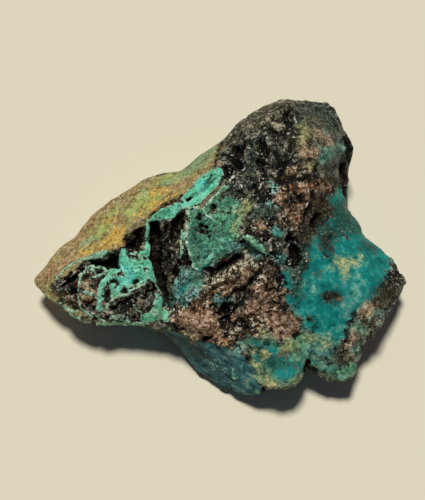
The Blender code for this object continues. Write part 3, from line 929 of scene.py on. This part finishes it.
class SPECIMEN_OT_skin(bpy.types.Operator):
    """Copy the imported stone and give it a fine, even skin"""

    bl_idname = "specimen.skin"
    bl_label = "Fine skin"

    def execute(self, context):
        relief = settings()[1]
        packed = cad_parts[NODE]
        bpy.ops.object.select_all(action="DESELECT")
        piece = packed.copy()
        piece.data = packed.data.copy()
        piece.name = PIECE
        piece.parent = None
        piece.matrix_world = packed.matrix_world
        context.scene.collection.objects.link(piece)
        choose(piece)
        bpy.ops.object.transform_apply(location=True, rotation=True, scale=True)
        bpy.ops.object.mode_set(mode="EDIT")
        bpy.ops.mesh.select_all(action="SELECT")
        bpy.ops.mesh.remove_doubles(threshold=SAME_CORNER)
        bpy.ops.object.mode_set(mode="OBJECT")
        finer = piece.modifiers.new("fine", "REMESH")
        finer.mode = "VOXEL"
        finer.voxel_size = relief.detail
        bpy.ops.object.modifier_apply(modifier="fine")
        self.soften(piece, 4)
        self.divide_drawn_side(piece.data)
        self.soften(piece, 2)
        self.thin_hidden_sides(piece.data)
        self.lay_flat(piece.data)
        bpy.ops.object.shade_smooth()
        return {"FINISHED"}

    @staticmethod
    def soften(piece, rounds):
        softer = piece.modifiers.new("soft", "SMOOTH")
        softer.factor = 0.5
        softer.iterations = rounds
        bpy.ops.object.modifier_apply(modifier="soft")

    @staticmethod
    def select_faces(mesh, chosen):
        """Selects in edit mode the faces whose corners are all chosen."""
        bpy.ops.object.mode_set(mode="EDIT")
        bpy.ops.mesh.select_mode(type="FACE")
        bpy.ops.mesh.select_all(action="DESELECT")
        bpy.ops.object.mode_set(mode="OBJECT")
        for face in mesh.polygons:
            face.select = all(chosen[corner] for corner in face.vertices)
        bpy.ops.object.mode_set(mode="EDIT")

    def divide_drawn_side(self, mesh):
        """Halves the facets where the thinnest marks are drawn."""
        points = points_of(mesh)
        places = on_sketch(points)
        drawn = (facing_camera(points, normals_of(mesh)) > 0.1) & (places[:, 0] < FINE_SIDE)
        self.select_faces(mesh, drawn)
        bpy.ops.mesh.subdivide(number_cuts=1)
        bpy.ops.object.mode_set(mode="OBJECT")

    def thin_hidden_sides(self, mesh):
        """Thins the facets of the flat foot, and those that the camera doesn't see."""
        points, normals = points_of(mesh), normals_of(mesh)
        self.thin(mesh, (points[:, 2] < FOOT_SKIN) & (normals[:, 2] < FACES_DOWN), FOOT_KEPT)
        points, normals = points_of(mesh), normals_of(mesh)
        hidden = (points[:, 2] > FOOT_SKIN) & (facing_camera(points, normals) < HIDDEN_BELOW)
        self.thin(mesh, hidden, HIDDEN_KEPT)

    def thin(self, mesh, chosen, kept):
        """Merges facets whose corners are all chosen until a share of them is left."""
        self.select_faces(mesh, chosen)
        bpy.ops.mesh.decimate(ratio=kept)
        bpy.ops.object.mode_set(mode="OBJECT")

    @staticmethod
    def lay_flat(mesh):
        """Maps the skin on the flat in a few large pieces, before the relief makes it rough."""
        mesh.uv_layers.new(name=BAKE_MAP)
        bpy.ops.object.mode_set(mode="EDIT")
        bpy.ops.mesh.select_all(action="SELECT")
        bpy.ops.uv.smart_project(angle_limit=MAP_BEND, island_margin=MAP_GAP, scale_to_bounds=True)
        bpy.ops.object.mode_set(mode="OBJECT")


class SPECIMEN_OT_marks(bpy.types.Operator):
    """Put every finish's marks on the stone as attributes"""

    bl_idname = "specimen.marks"
    bl_label = "Marks"

    def execute(self, context):
        mesh = bpy.data.objects[PIECE].data
        points, normals = points_of(mesh), normals_of(mesh)
        places = on_sketch(points)
        wander = wandered(places * 0, points, 1.0)
        seen = shown(facing_camera(points, normals))
        for name, marks in SKETCHED.items():
            shifted = places + marks.wander * wander
            inside = np.max([inside_chain(shifted, chain) for chain in marks.strokes], 0)
            values = field_of(inside, marks.fade) * seen
            for *centre, radius in ROUND_THE_BACK.get(name, []):
                gap = np.linalg.norm(points / MM - np.array(centre), axis=1)
                ragged = radius + 0.8 * lumps(points, 2.5, seed=radius)
                hidden = field_of(ragged - gap, PATCH_FADE) * (1 - seen)
                values = np.maximum(values, hidden)
            write_field(mesh, name, values)
        return {"FINISHED"}


# Layers of lumps: their size, how far they stand out everywhere, how much farther on rough rock, and
# their seed.  Sizes and heights are in millimetres.
BROAD_LUMPS = (3.2, 0.10, 0.10, 1.0)
SMALL_LUMPS = [(1.2, 0.05, 0.11, 2.0), (0.5, 0.015, 0.06, 5.0)]
# Layers of broken facets: their size, how far they jut out of rough rock, how much less where it is
# copper, and their seed.
CHUNKS = (1.9, 0.55, 0.20, 3.0)
FLAKES = (0.8, 0.30, 0.12, 9.0)
# Fibres of the copper rock: their size, height and seed.  They run along the first direction and are thin
# across it.
FIBRES = (0.42, 0.16, 4.0)
FIBRE_ALONG = np.array((0.17, 0.11, 0.0))
FIBRE_ACROSS = np.array((-0.53, 0.85, 0.0))
FIBRE_UP = np.array((0.0, 0.0, 0.5))
# Streaks of the slate foot and of the grey crest: their size and height.  They are thin along this
# direction.
STREAKS = (0.45, 0.07)
STREAK_ACROSS = np.array((0.72, -0.55, 0.42))
# How much of the broken relief each smooth finish takes away.
SMOOTHED = {"teal": 1.0, "slate": 1.0, "rind": 1.0, "mist": 1.0, "haze": 0.5, "mottle": 0.6,
            "umber": 0.6}


class SPECIMEN_OT_relief(bpy.types.Operator):
    """Raise the veins and grains and sink the cavities and clefts"""

    bl_idname = "specimen.relief"
    bl_label = "Relief"

    def execute(self, context):
        relief = settings()[1]
        mesh = bpy.data.objects[PIECE].data
        points, normals = points_of(mesh), normals_of(mesh)
        facing = facing_camera(points, normals)
        field = {name: read_field(mesh, name) for name in FINISHES}
        inside = {name: smooth_step(0.42, 0.62, field[name]) for name in FINISHES}
        smooth_skin = np.max([share * inside[name] for name, share in SMOOTHED.items()], 0)
        veins = np.maximum(inside["veins"], inside["turquoise"])
        rough = np.clip(1 - smooth_skin - 0.7 * inside["green"] - 0.8 * veins, 0.08, 1.0)
        rough *= 0.2 + 0.8 * smooth_step(0.0, 0.5, np.abs(facing))

        small, chunk_shade, flake_shade = self.broken(points, rough, inside["copper"])
        height = self.forms(points, facing)
        height += (small + self.lumpy(points, rough, BROAD_LUMPS)) * MM * relief.roughness
        height += relief.vein_height * veins * (1 - 0.5 * inside["dark"])
        height -= relief.cavity_depth * smooth_step(0.35, 1.0, field["dark"])
        across = points @ STREAK_ACROSS
        streaks = np.stack([across, 0 * across, 0.12 * points[:, 0]], 1)
        size, rise = STREAKS
        height += rise * MM * np.maximum(inside["slate"], inside["grey"]) * lumps(streaks, size)
        self.move(mesh, points, normals, height)
        # How far the small relief stands out, which the material reads to paint crests lighter and
        # hollows darker.
        write_field(mesh, "crest", np.clip(0.5 + 1.6 * small, 0, 1))
        write_field(mesh, "chunk", chunk_shade)
        write_field(mesh, "flake", flake_shade)
        return {"FINISHED"}

    @staticmethod
    def forms(points, facing):
        """How far the crests, the gullies and the outline are pushed out."""
        places = wandered(on_sketch(points), points, 1.5)
        height = np.zeros(len(points))
        edge = smooth_step(-0.7, -0.3, facing)
        for forms, share in ((FORMS, shown(facing)), (OUTLINE, edge)):
            for chain, rise, slope in forms:
                risen = smooth_step(-slope / 2, slope / 2, inside_chain(places, chain))
                height += rise * MM * share * risen
        return height

    @staticmethod
    def lumpy(points, rough, layer):
        """How far one layer of lumps stands out, in millimetres."""
        size, everywhere, farther, seed = layer
        return (everywhere + farther * rough) * lumps(points, size, seed)

    def broken(self, points, rough, copper):
        """Lumps, chunks, flakes and fibres in millimetres, and the chunks' and the flakes' shades."""
        small = sum(self.lumpy(points, rough, layer) for layer in SMALL_LUMPS)
        planes, shades = [], []
        for size, rise, less, seed in (CHUNKS, FLAKES):
            jut, tone = facets(points, size, seed)
            small += rough * (rise - less * copper) * jut
            planes.append(jut)
            shades.append(tone)
        fibres = np.stack([points @ way for way in (FIBRE_ALONG, FIBRE_ACROSS, FIBRE_UP)], 1)
        size, rise, seed = FIBRES
        small += rise * copper * lumps(fibres, size, seed)
        chunks, flakes = planes
        small += 0.05 * (1 - rough) * (0.5 * chunks + flakes)
        return small, *shades

    @staticmethod
    def move(mesh, points, normals, height):
        """Moves the skin along its normals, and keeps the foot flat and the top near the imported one."""
        points += normals * height[:, None]
        points[(points[:, 2] < FOOT_SKIN) & (normals[:, 2] < -0.9), 2] = 0.0
        points[:, 2] = np.maximum(points[:, 2], 0.0)
        points[:, 2] -= OVER_TOP_PRESSED * np.maximum(points[:, 2] - CAD_BOX[1][2], 0.0)
        mesh.vertices.foreach_set("co", points.astype(np.float32).ravel())
        mesh.update()


class Drivers(NamedTuple):
    """Wires from zero to one that vary over the stone, and the place they vary with."""

    swirl: Wire
    fine: Wire
    grain: Wire
    patch: Wire
    coarse: Wire
    pick: Wire
    glint: Wire
    downhill: Wire
    uphill: Wire
    fibre: Wire
    crest: Wire
    chunk: Wire
    flake: Wire


def read_attribute(start, name):
    return start.node("ShaderNodeAttribute", {"attribute_name": name}, output=2)


def cells(start, size, where, output=0):
    """Rounded cells of a size in millimetres: how far the nearest middle is, or each cell's colour."""
    return start.node("ShaderNodeTexVoronoi", inputs={"Vector": where, "Scale": 1 / size}, output=output)


def make_drivers(start):
    """The noises, grains and streaks that every finish is made from."""
    place = start.node("ShaderNodeTexCoord", output=3)
    place = start.node("ShaderNodeVectorMath", {"operation": "SCALE"}, {0: place, "Scale": 1 / MM})
    drift = start.node("ShaderNodeTexNoise", inputs={"Vector": place, "Scale": 1.6}, output=1)
    swirl = start.node("ShaderNodeVectorMath", {"operation": "ADD"}, {0: place, 1: drift})

    def cloud(size, detail, roughness, where):
        inputs = {"Vector": where, "Scale": 1 / size, "Detail": detail, "Roughness": roughness}
        return start.node("ShaderNodeTexNoise", inputs=inputs)

    def chance(size):
        """A number of its own for each cell of a size."""
        return start.node("ShaderNodeSeparateColor", inputs={"Color": cells(start, size, swirl, 1)})

    def stretched(turn, length, width):
        """Places drawn out along a direction that is turned from X in the flat."""
        return start.node("ShaderNodeMapping", {"vector_type": "TEXTURE"}, {
            "Vector": place, "Rotation": (0.0, 0.0, math.radians(turn)),
            "Scale": (length, width, width)})

    grain = cloud(0.55, 5.0, 0.65, swirl)
    coarse = cloud(2.4, 4.0, 0.6, swirl)
    uphill = cloud(1.0, 4.0, 0.65, stretched(32, 1.6, 0.35))
    steep = cloud(1.0, 4.0, 0.65, stretched(74, 1.4, 0.32))
    return Drivers(
        swirl=swirl,
        fine=cloud(0.22, 4.0, 0.7, place),
        grain=grain,
        patch=cloud(1.2, 3.0, 0.55, swirl),
        coarse=coarse,
        pick=chance(0.21) * 0.55 + chance(0.38) * 0.45,
        # Scattered cells that get painted glints.
        glint=chance(0.24).step(0.90, 0.95) * grain.step(0.42, 0.54),
        downhill=cloud(1.0, 4.0, 0.65, stretched(-35, 4.0, 0.6)),
        uphill=uphill,
        fibre=uphill + (steep - uphill) * coarse.step(0.44, 0.56),
        # The relief's height, which lightens crests and darkens hollows as painted light and shade.
        crest=read_attribute(start, "crest"),
        chunk=read_attribute(start, "chunk"),
        flake=read_attribute(start, "flake"),
    )


def rock_colours(by, colours):
    """Colours of the broken, granular rock, with painted light and shade."""
    # The crest attribute paints the raised rock lighter and its hollows darker, and the palest stops of
    # the grain ramps paint glints as highlights.
    broad = (by.patch - 0.5) * 0.4
    fibres = (by.fibre - 0.5) * 0.9 + (by.fine - 0.5) * 0.25 + broad
    lie = by.pick * 0.34 + by.crest * 0.3 + by.flake * 0.1 + fibres * 0.7 + 0.23
    ridged = by.pick * 0.28 + by.crest * 0.25 + fibres + 0.335
    black = (lie * 0.85 + by.chunk * 0.2).ramp(
        (0.46, paint(3, 4, 2)), (0.57, shade(colours.crust, 0.55)), (0.65, paint(52, 56, 45)),
        (0.75, paint(104, 106, 90)), (0.88, paint(220, 218, 200)))
    brown = lie.ramp(
        (0.46, paint(5, 4, 2)), (0.57, paint(48, 39, 28)), (0.67, paint(98, 82, 62)),
        (0.82, paint(206, 190, 160)))
    copper = ridged.ramp(
        (0.47, paint(5, 4, 2)), (0.55, shade(colours.copper, 0.22)), (0.62, shade(colours.copper, 0.75)),
        (0.69, paint(154, 127, 94)), (0.78, paint(250, 230, 196)))
    ember = ridged.ramp(
        (0.47, paint(12, 7, 4)), (0.55, paint(54, 30, 17)), (0.62, paint(106, 62, 37)),
        (0.70, paint(162, 106, 69)), (0.82, paint(242, 204, 162)))
    # Pale fibres with black gaps, with painted glints along them.
    straw = (by.uphill * 0.5 + by.pick * 0.4 + by.fine * 0.1).ramp(
        (0.40, paint(10, 9, 6)), (0.46, paint(64, 55, 40)), (0.51, paint(122, 110, 84)),
        (0.56, paint(178, 166, 134)), (0.66, paint(246, 240, 216)))
    # Black rock and painted shade in crevices, hollows and gullies, with pale painted glints.
    night = lie.ramp(
        (0.52, paint(1, 1, 1)), (0.65, paint(18, 17, 13)), (0.75, paint(70, 66, 53)),
        (0.85, paint(200, 194, 172)))
    grey = (by.uphill * 0.55 + by.pick * 0.2 + by.fine * 0.1 + by.crest * 0.15).ramp(
        (0.38, paint(22, 22, 15)), (0.46, paint(54, 53, 38)), (0.50, paint(76, 74, 55)),
        (0.54, paint(102, 98, 76)), (0.63, paint(176, 168, 142)))
    lump = by.patch * 0.4 + by.grain * 0.3 + by.pick * 0.3
    warm = lump.tones(
        paint(38, 35, 26), paint(76, 72, 54), paint(95, 90, 69),
        paint(116, 109, 85), paint(166, 154, 124))
    cool = lump.tones(
        paint(32, 42, 37), paint(66, 82, 72), paint(86, 104, 90),
        paint(102, 124, 108), paint(148, 172, 152))
    mottle = by.coarse.step(0.46, 0.55).mix(warm, cool)
    umber = (by.pick * 0.35 + by.fine * 0.3 + by.fibre * 0.35).ramp(
        (0.36, paint(8, 7, 5)), (0.45, paint(28, 25, 18)), (0.50, paint(42, 37, 26)),
        (0.55, paint(58, 50, 36)), (0.66, paint(108, 92, 68)))
    salmon = (by.pick * 0.6 + by.fine * 0.4).ramp(
        (0.28, paint(64, 44, 30)), (0.42, paint(150, 114, 86)), (0.56, paint(206, 166, 130)),
        (0.72, paint(250, 230, 200)))
    # Near-black rock and painted shade for the cavities, clefts and notches.
    dark = (by.pick * 0.5 + by.fine * 0.2 + by.grain * 0.3).ramp(
        (0.38, paint(1, 1, 1)), (0.50, paint(8, 7, 5)), (0.60, paint(30, 25, 18)),
        (0.70, paint(72, 63, 48)), (0.80, paint(150, 140, 118)))
    seam = (by.pick * 0.6 + by.fine * 0.4).ramp(
        (0.3, paint(50, 44, 32)), (0.5, paint(112, 102, 76)), (0.7, paint(166, 154, 122)))
    # Painted glints: small bright specks that stand in for highlights.
    spark = (by.pick * 0.6 + by.fine * 0.4).ramp((0.3, paint(90, 94, 88)), (0.55, paint(238, 238, 226)))
    crust = by.coarse.step(0.48, 0.60).mix(black, brown)
    return {"crust": crust, "copper": copper, "ember": ember, "night": night, "straw": straw,
            "grey": grey, "mottle": mottle, "umber": umber, "salmon": salmon, "dark": dark,
            "seam": seam, "spark": spark}


def skin_colours(by, colours):
    """Colours of the weathered back, of the blue-green skins and of the slate foot."""
    sand = by.patch * 0.3 + by.grain * 0.3 + by.fine * 0.15 + by.pick * 0.25
    tan = sand.tones(
        paint(100, 86, 56), shade(colours.rind, 0.82), colours.rind,
        shade(colours.rind, 1.2), paint(202, 186, 136))
    olive = sand.tones(
        paint(104, 98, 60), paint(140, 138, 84), paint(154, 155, 96),
        paint(168, 170, 106), paint(190, 190, 128))
    rind = by.coarse.step(0.48, 0.60).mix(tan, olive)
    rust = sand.ramp(
        (0.38, paint(96, 70, 44)), (0.46, paint(142, 112, 76)), (0.50, paint(162, 130, 90)),
        (0.62, paint(212, 184, 142)))
    ochre = sand.ramp(
        (0.38, paint(126, 104, 50)), (0.46, shade(colours.ochre, 0.85)), (0.50, colours.ochre),
        (0.62, shade(colours.ochre, 1.4)))
    moss = sand.ramp(
        (0.38, paint(112, 122, 62)), (0.46, paint(142, 160, 84)), (0.50, paint(154, 174, 92)),
        (0.62, paint(192, 204, 126)))
    sage = sand.tones(
        paint(80, 98, 70), paint(112, 133, 97), paint(127, 149, 110),
        paint(140, 163, 120), paint(178, 194, 152))
    slate = (by.downhill * 0.4 + by.patch * 0.3 + by.grain * 0.3).ramp(
        (0.40, shade(colours.slate, 0.10)), (0.46, shade(colours.slate, 0.68)), (0.50, colours.slate),
        (0.54, shade(colours.slate, 1.4)), (0.61, paint(142, 186, 172)))
    haze = (by.patch * 0.15 + by.grain * 0.25 + by.uphill * 0.15 + by.pick * 0.45).ramp(
        (0.35, paint(6, 26, 24)), (0.45, paint(46, 92, 85)), (0.50, paint(76, 130, 120)),
        (0.55, paint(106, 164, 154)), (0.64, paint(170, 216, 204)))
    mist = (by.patch * 0.5 + by.coarse * 0.2 + by.grain * 0.3).tones(
        paint(24, 78, 72), paint(56, 116, 103), paint(82, 138, 118),
        paint(108, 156, 132), paint(164, 186, 144))
    teal = (by.coarse * 0.45 + by.patch * 0.35 + by.grain * 0.15 + by.pick * 0.05).tones(
        paint(0, 88, 86), shade(colours.teal, 0.88), colours.teal,
        shade(colours.teal, 1.2), paint(92, 168, 150))
    leaf = by.patch * 0.25 + by.grain * 0.35 + by.fine * 0.1 + by.pick * 0.3
    mossy = leaf.ramp(
        (0.37, paint(18, 26, 16)), (0.46, shade(colours.green, 0.72)), (0.50, colours.green),
        (0.54, shade(colours.green, 1.4)), (0.63, paint(124, 182, 144)))
    jade = leaf.ramp(
        (0.37, paint(14, 32, 26)), (0.46, paint(50, 108, 92)), (0.50, paint(62, 130, 113)),
        (0.54, paint(76, 150, 130)), (0.63, paint(124, 190, 164)))
    green = by.coarse.step(0.46, 0.58).mix(mossy, jade)
    murk = (by.pick * 0.35 + by.fine * 0.3 + by.fibre * 0.35).ramp(
        (0.36, paint(14, 17, 12)), (0.45, paint(36, 45, 37)), (0.50, paint(49, 61, 51)),
        (0.55, paint(64, 79, 66)), (0.66, paint(118, 134, 112)))
    pale = (by.patch * 0.4 + by.grain * 0.4 + by.pick * 0.2).ramp(
        (0.38, paint(46, 122, 112)), (0.50, paint(92, 160, 142)), (0.62, paint(166, 206, 180)))
    deep = (by.pick * 0.35 + by.fine * 0.3 + by.fibre * 0.35).ramp(
        (0.38, paint(12, 30, 25)), (0.5, paint(30, 66, 53)), (0.62, paint(54, 108, 90)))
    yellow = (by.uphill * 0.45 + by.grain * 0.3 + by.pick * 0.25).tones(
        paint(90, 106, 72), paint(140, 146, 98), colours.cream,
        shade(colours.cream, 1.25), paint(234, 222, 160))
    lump = by.patch * 0.3 + by.grain * 0.35 + by.fine * 0.1 + by.pick * 0.25
    leafy = lump.tones(
        paint(50, 96, 66), shade(colours.turquoise, 0.75), colours.turquoise,
        shade(colours.turquoise, 1.28), paint(168, 234, 198))
    bluish = lump.tones(
        paint(40, 110, 96), paint(66, 167, 147), paint(88, 195, 171),
        paint(102, 212, 190), paint(160, 238, 216))
    turquoise = by.coarse.step(0.50, 0.60).mix(leafy, bluish)
    veins = (by.grain * 0.4 + by.fine * 0.2 + by.pick * 0.4).ramp(
        (0.35, paint(82, 116, 88)), (0.5, paint(134, 184, 152)), (0.65, paint(200, 228, 200)))
    return {"rind": rind, "rust": rust, "ochre": ochre, "moss": moss, "sage": sage, "slate": slate,
            "haze": haze, "mist": mist, "teal": teal, "green": green, "pale": pale, "murk": murk,
            "deep": deep, "yellow": yellow, "turquoise": turquoise, "veins": veins}


# How much of what lies under them these finishes cover.  The others cover all of it.
STRENGTHS = {"rust": 0.7, "ochre": 0.9, "moss": 0.85, "ember": 0.85, "umber": 0.92, "deep": 0.85,
             "murk": 0.95, "pale": 0.65, "salmon": 0.85, "yellow": 0.8, "mottle": 0.9}


def most_of(mask, shares):
    """The strongest of some masks, each weakened by its share."""
    return reduce(Wire.atleast, [mask[name] * share for name, share in shares.items()])


class SPECIMEN_OT_finish(bpy.types.Operator):
    """Lay turquoise, teal, copper, rind and the other finishes over each other in one material"""

    bl_idname = "specimen.finish"
    bl_label = "Finish"

    def execute(self, context):
        colours = settings()[0]
        material = bpy.data.materials.new(SLOT)
        material.use_nodes = True
        tree = material.node_tree
        tree.nodes.clear()
        start = Wire(tree)
        by = make_drivers(start)
        frayed = (by.grain - 0.5) * EDGE_GRAIN + (by.pick - 0.5) * 0.35
        patchy = (by.patch - 0.5) * 1.3 + (by.coarse - 0.5) * 0.5 + (by.grain - 0.5) * 0.35
        value = {name: read_attribute(start, name) + (patchy if marks.softness >= SOFT else frayed)
                 for name, marks in SKETCHED.items()}
        mask = {name: value[name].step(0.5 - marks.softness, 0.5 + marks.softness)
                for name, marks in SKETCHED.items()}
        paints = rock_colours(by, colours) | skin_colours(by, colours)
        colour = paints["crust"]
        for name in FINISHES:
            share = mask[name] * STRENGTHS.get(name, 1.0)
            colour = share.mix(colour, paints[name])
            if name in RIMMED:
                rim = mask[name] * (1 - value[name].step(0.6, 0.8)) * RIMMED[name]
                colour = rim.mix(colour, full(RIM_COLOUR))

        dull = most_of(mask, {"rind": 1.0, "slate": 0.6})
        satin = most_of(mask, {"teal": 1.0, "green": 1.0, "turquoise": 1.0, "veins": 1.0, "haze": 0.5,
                               "mist": 1.0})
        plain = most_of(mask, {"grey": 0.6, "slate": 1.0, "dark": 1.0, "mottle": 1.0, "umber": 1.0,
                               "seam": 1.0})
        calm = 1 - satin * 0.7 - dull * 0.5
        # Painted glints: pale specks laid over the granular rock as highlights, kept off the smooth and
        # plain skins.
        glint = by.glint * (1 - plain.atleast(satin).atleast(dull))
        colour = (glint * 0.8).mix(colour, full(PAINTED_GLINT_COLOUR))
        rough = 0.24 + satin * 0.26 + dull * 0.6 + (by.fine - 0.5) * 0.3
        rough = (rough - mask["spark"] * 0.1).atleast(0.15).upto(0.95)
        bumps = (1 - cells(start, 0.26, by.swirl)) * 0.6 + by.grain * 0.5 + by.fine * 0.6
        normal = start.node("ShaderNodeBump", inputs={
            "Strength": 0.9, "Distance": PORE_DEPTH, "Height": bumps * calm.atleast(0.3)})
        shader = start.node("ShaderNodeBsdfPrincipled", inputs={
            "Base Color": colour, "Roughness": rough, "Normal": normal, "IOR": 1.5,
            "Specular IOR Level": SHINE})
        start.node("ShaderNodeOutputMaterial", inputs={"Surface": shader})

        mesh = bpy.data.objects[PIECE].data
        mesh.materials.clear()
        mesh.materials.append(material)
        return {"FINISHED"}


# ---------------------------------------------------------------------------------------------------
# The stage
# ---------------------------------------------------------------------------------------------------

FLOOR_SIDE = 20.0
# The floor lies this little under the stone's foot.
FLOOR_GAP = 0.01 * MM
# The lamp stands high behind the stone and is as wide as a large window.
KEY_PLACE = Vector((-0.03, 0.166, 0.55))
KEY_WIDTH = math.radians(12)
KEY_TINT = (1.0, 0.97, 0.92)
ROOM_TINT = (0.66, 0.65, 1.0)


def floor_material(colour):
    material = bpy.data.materials.new("pale_board")
    material.use_nodes = True
    shader = material.node_tree.nodes["Principled BSDF"]
    shader.inputs["Base Color"].default_value = full(colour)
    shader.inputs["Roughness"].default_value = 0.9
    shader.inputs["Specular IOR Level"].default_value = 0.1
    return material


def aim(item, target):
    item.rotation_euler = (Vector(target) - item.location).to_track_quat("-Z", "Y").to_euler()


class SPECIMEN_OT_stage(bpy.types.Operator):
    """Set out the floor, the light and the camera"""

    bl_idname = "specimen.stage"
    bl_label = "Stage"

    def execute(self, context):
        colours, _, stage = settings()
        scene = context.scene
        bpy.ops.object.select_all(action="DESELECT")
        bpy.ops.mesh.primitive_plane_add(size=FLOOR_SIDE, location=(0, 0, -FLOOR_GAP))
        floor = context.object
        floor.name = "floor"
        floor.data.materials.append(floor_material(colours.floor))

        bpy.ops.object.light_add(type="SUN", location=KEY_PLACE)
        key = context.object
        key.name = "key_light"
        key.data.energy = stage.key_power
        key.data.angle = KEY_WIDTH
        key.data.color = KEY_TINT
        aim(key, (0, 0, 0))

        world = bpy.data.worlds.new("soft_room")
        world.use_nodes = True
        background = world.node_tree.nodes["Background"]
        background.inputs["Color"].default_value = full(ROOM_TINT)
        background.inputs["Strength"].default_value = stage.fill_strength
        scene.world = world

        bpy.ops.object.camera_add(location=CAMERA_PLACE)
        camera = context.object
        camera.name = "camera"
        camera.rotation_euler = (math.pi / 2 - CAMERA_TILT, 0, 0)
        camera.data.lens = CAMERA_LENS
        camera.data.sensor_width = CAMERA_SENSOR
        camera.data.clip_start = 0.01
        scene.camera = camera
        scene.view_settings.view_transform = "Standard"
        return {"FINISHED"}


class SPECIMEN_PT_panel(bpy.types.Panel):
    """Shows the settings and the steps that make the specimen."""

    bl_idname = "SPECIMEN_PT_panel"
    bl_label = "Turquoise specimen"
    bl_space_type = "VIEW_3D"
    bl_region_type = "UI"
    bl_category = "Specimen"

    def draw(self, context):
        for group in (context.scene.specimen_colours, context.scene.specimen_relief,
                      context.scene.specimen_stage):
            box = self.layout.box()
            for name in group.__annotations__:
                box.prop(group, name)
        for step in STEPS:
            self.layout.operator(step.bl_idname)


STEPS = [SPECIMEN_OT_stage, SPECIMEN_OT_skin, SPECIMEN_OT_marks, SPECIMEN_OT_relief, SPECIMEN_OT_finish]
CLASSES = [SpecimenColours, SpecimenRelief, SpecimenStage, *STEPS, SPECIMEN_PT_panel]


def register():
    for item in CLASSES:
        bpy.utils.register_class(item)
    bpy.types.Scene.specimen_colours = PointerProperty(type=SpecimenColours)
    bpy.types.Scene.specimen_relief = PointerProperty(type=SpecimenRelief)
    bpy.types.Scene.specimen_stage = PointerProperty(type=SpecimenStage)


def unregister():
    del bpy.types.Scene.specimen_stage
    del bpy.types.Scene.specimen_relief
    del bpy.types.Scene.specimen_colours
    for item in reversed(CLASSES):
        bpy.utils.unregister_class(item)


def main():
    register()
    bpy.ops.specimen.stage()
    bpy.ops.specimen.skin()
    bpy.ops.specimen.marks()
    bpy.ops.specimen.relief()
    bpy.ops.specimen.finish()
    piece = bpy.data.objects[PIECE]
    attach(piece, "root")
    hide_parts(NODE)


if __name__ == "__main__":
    main()
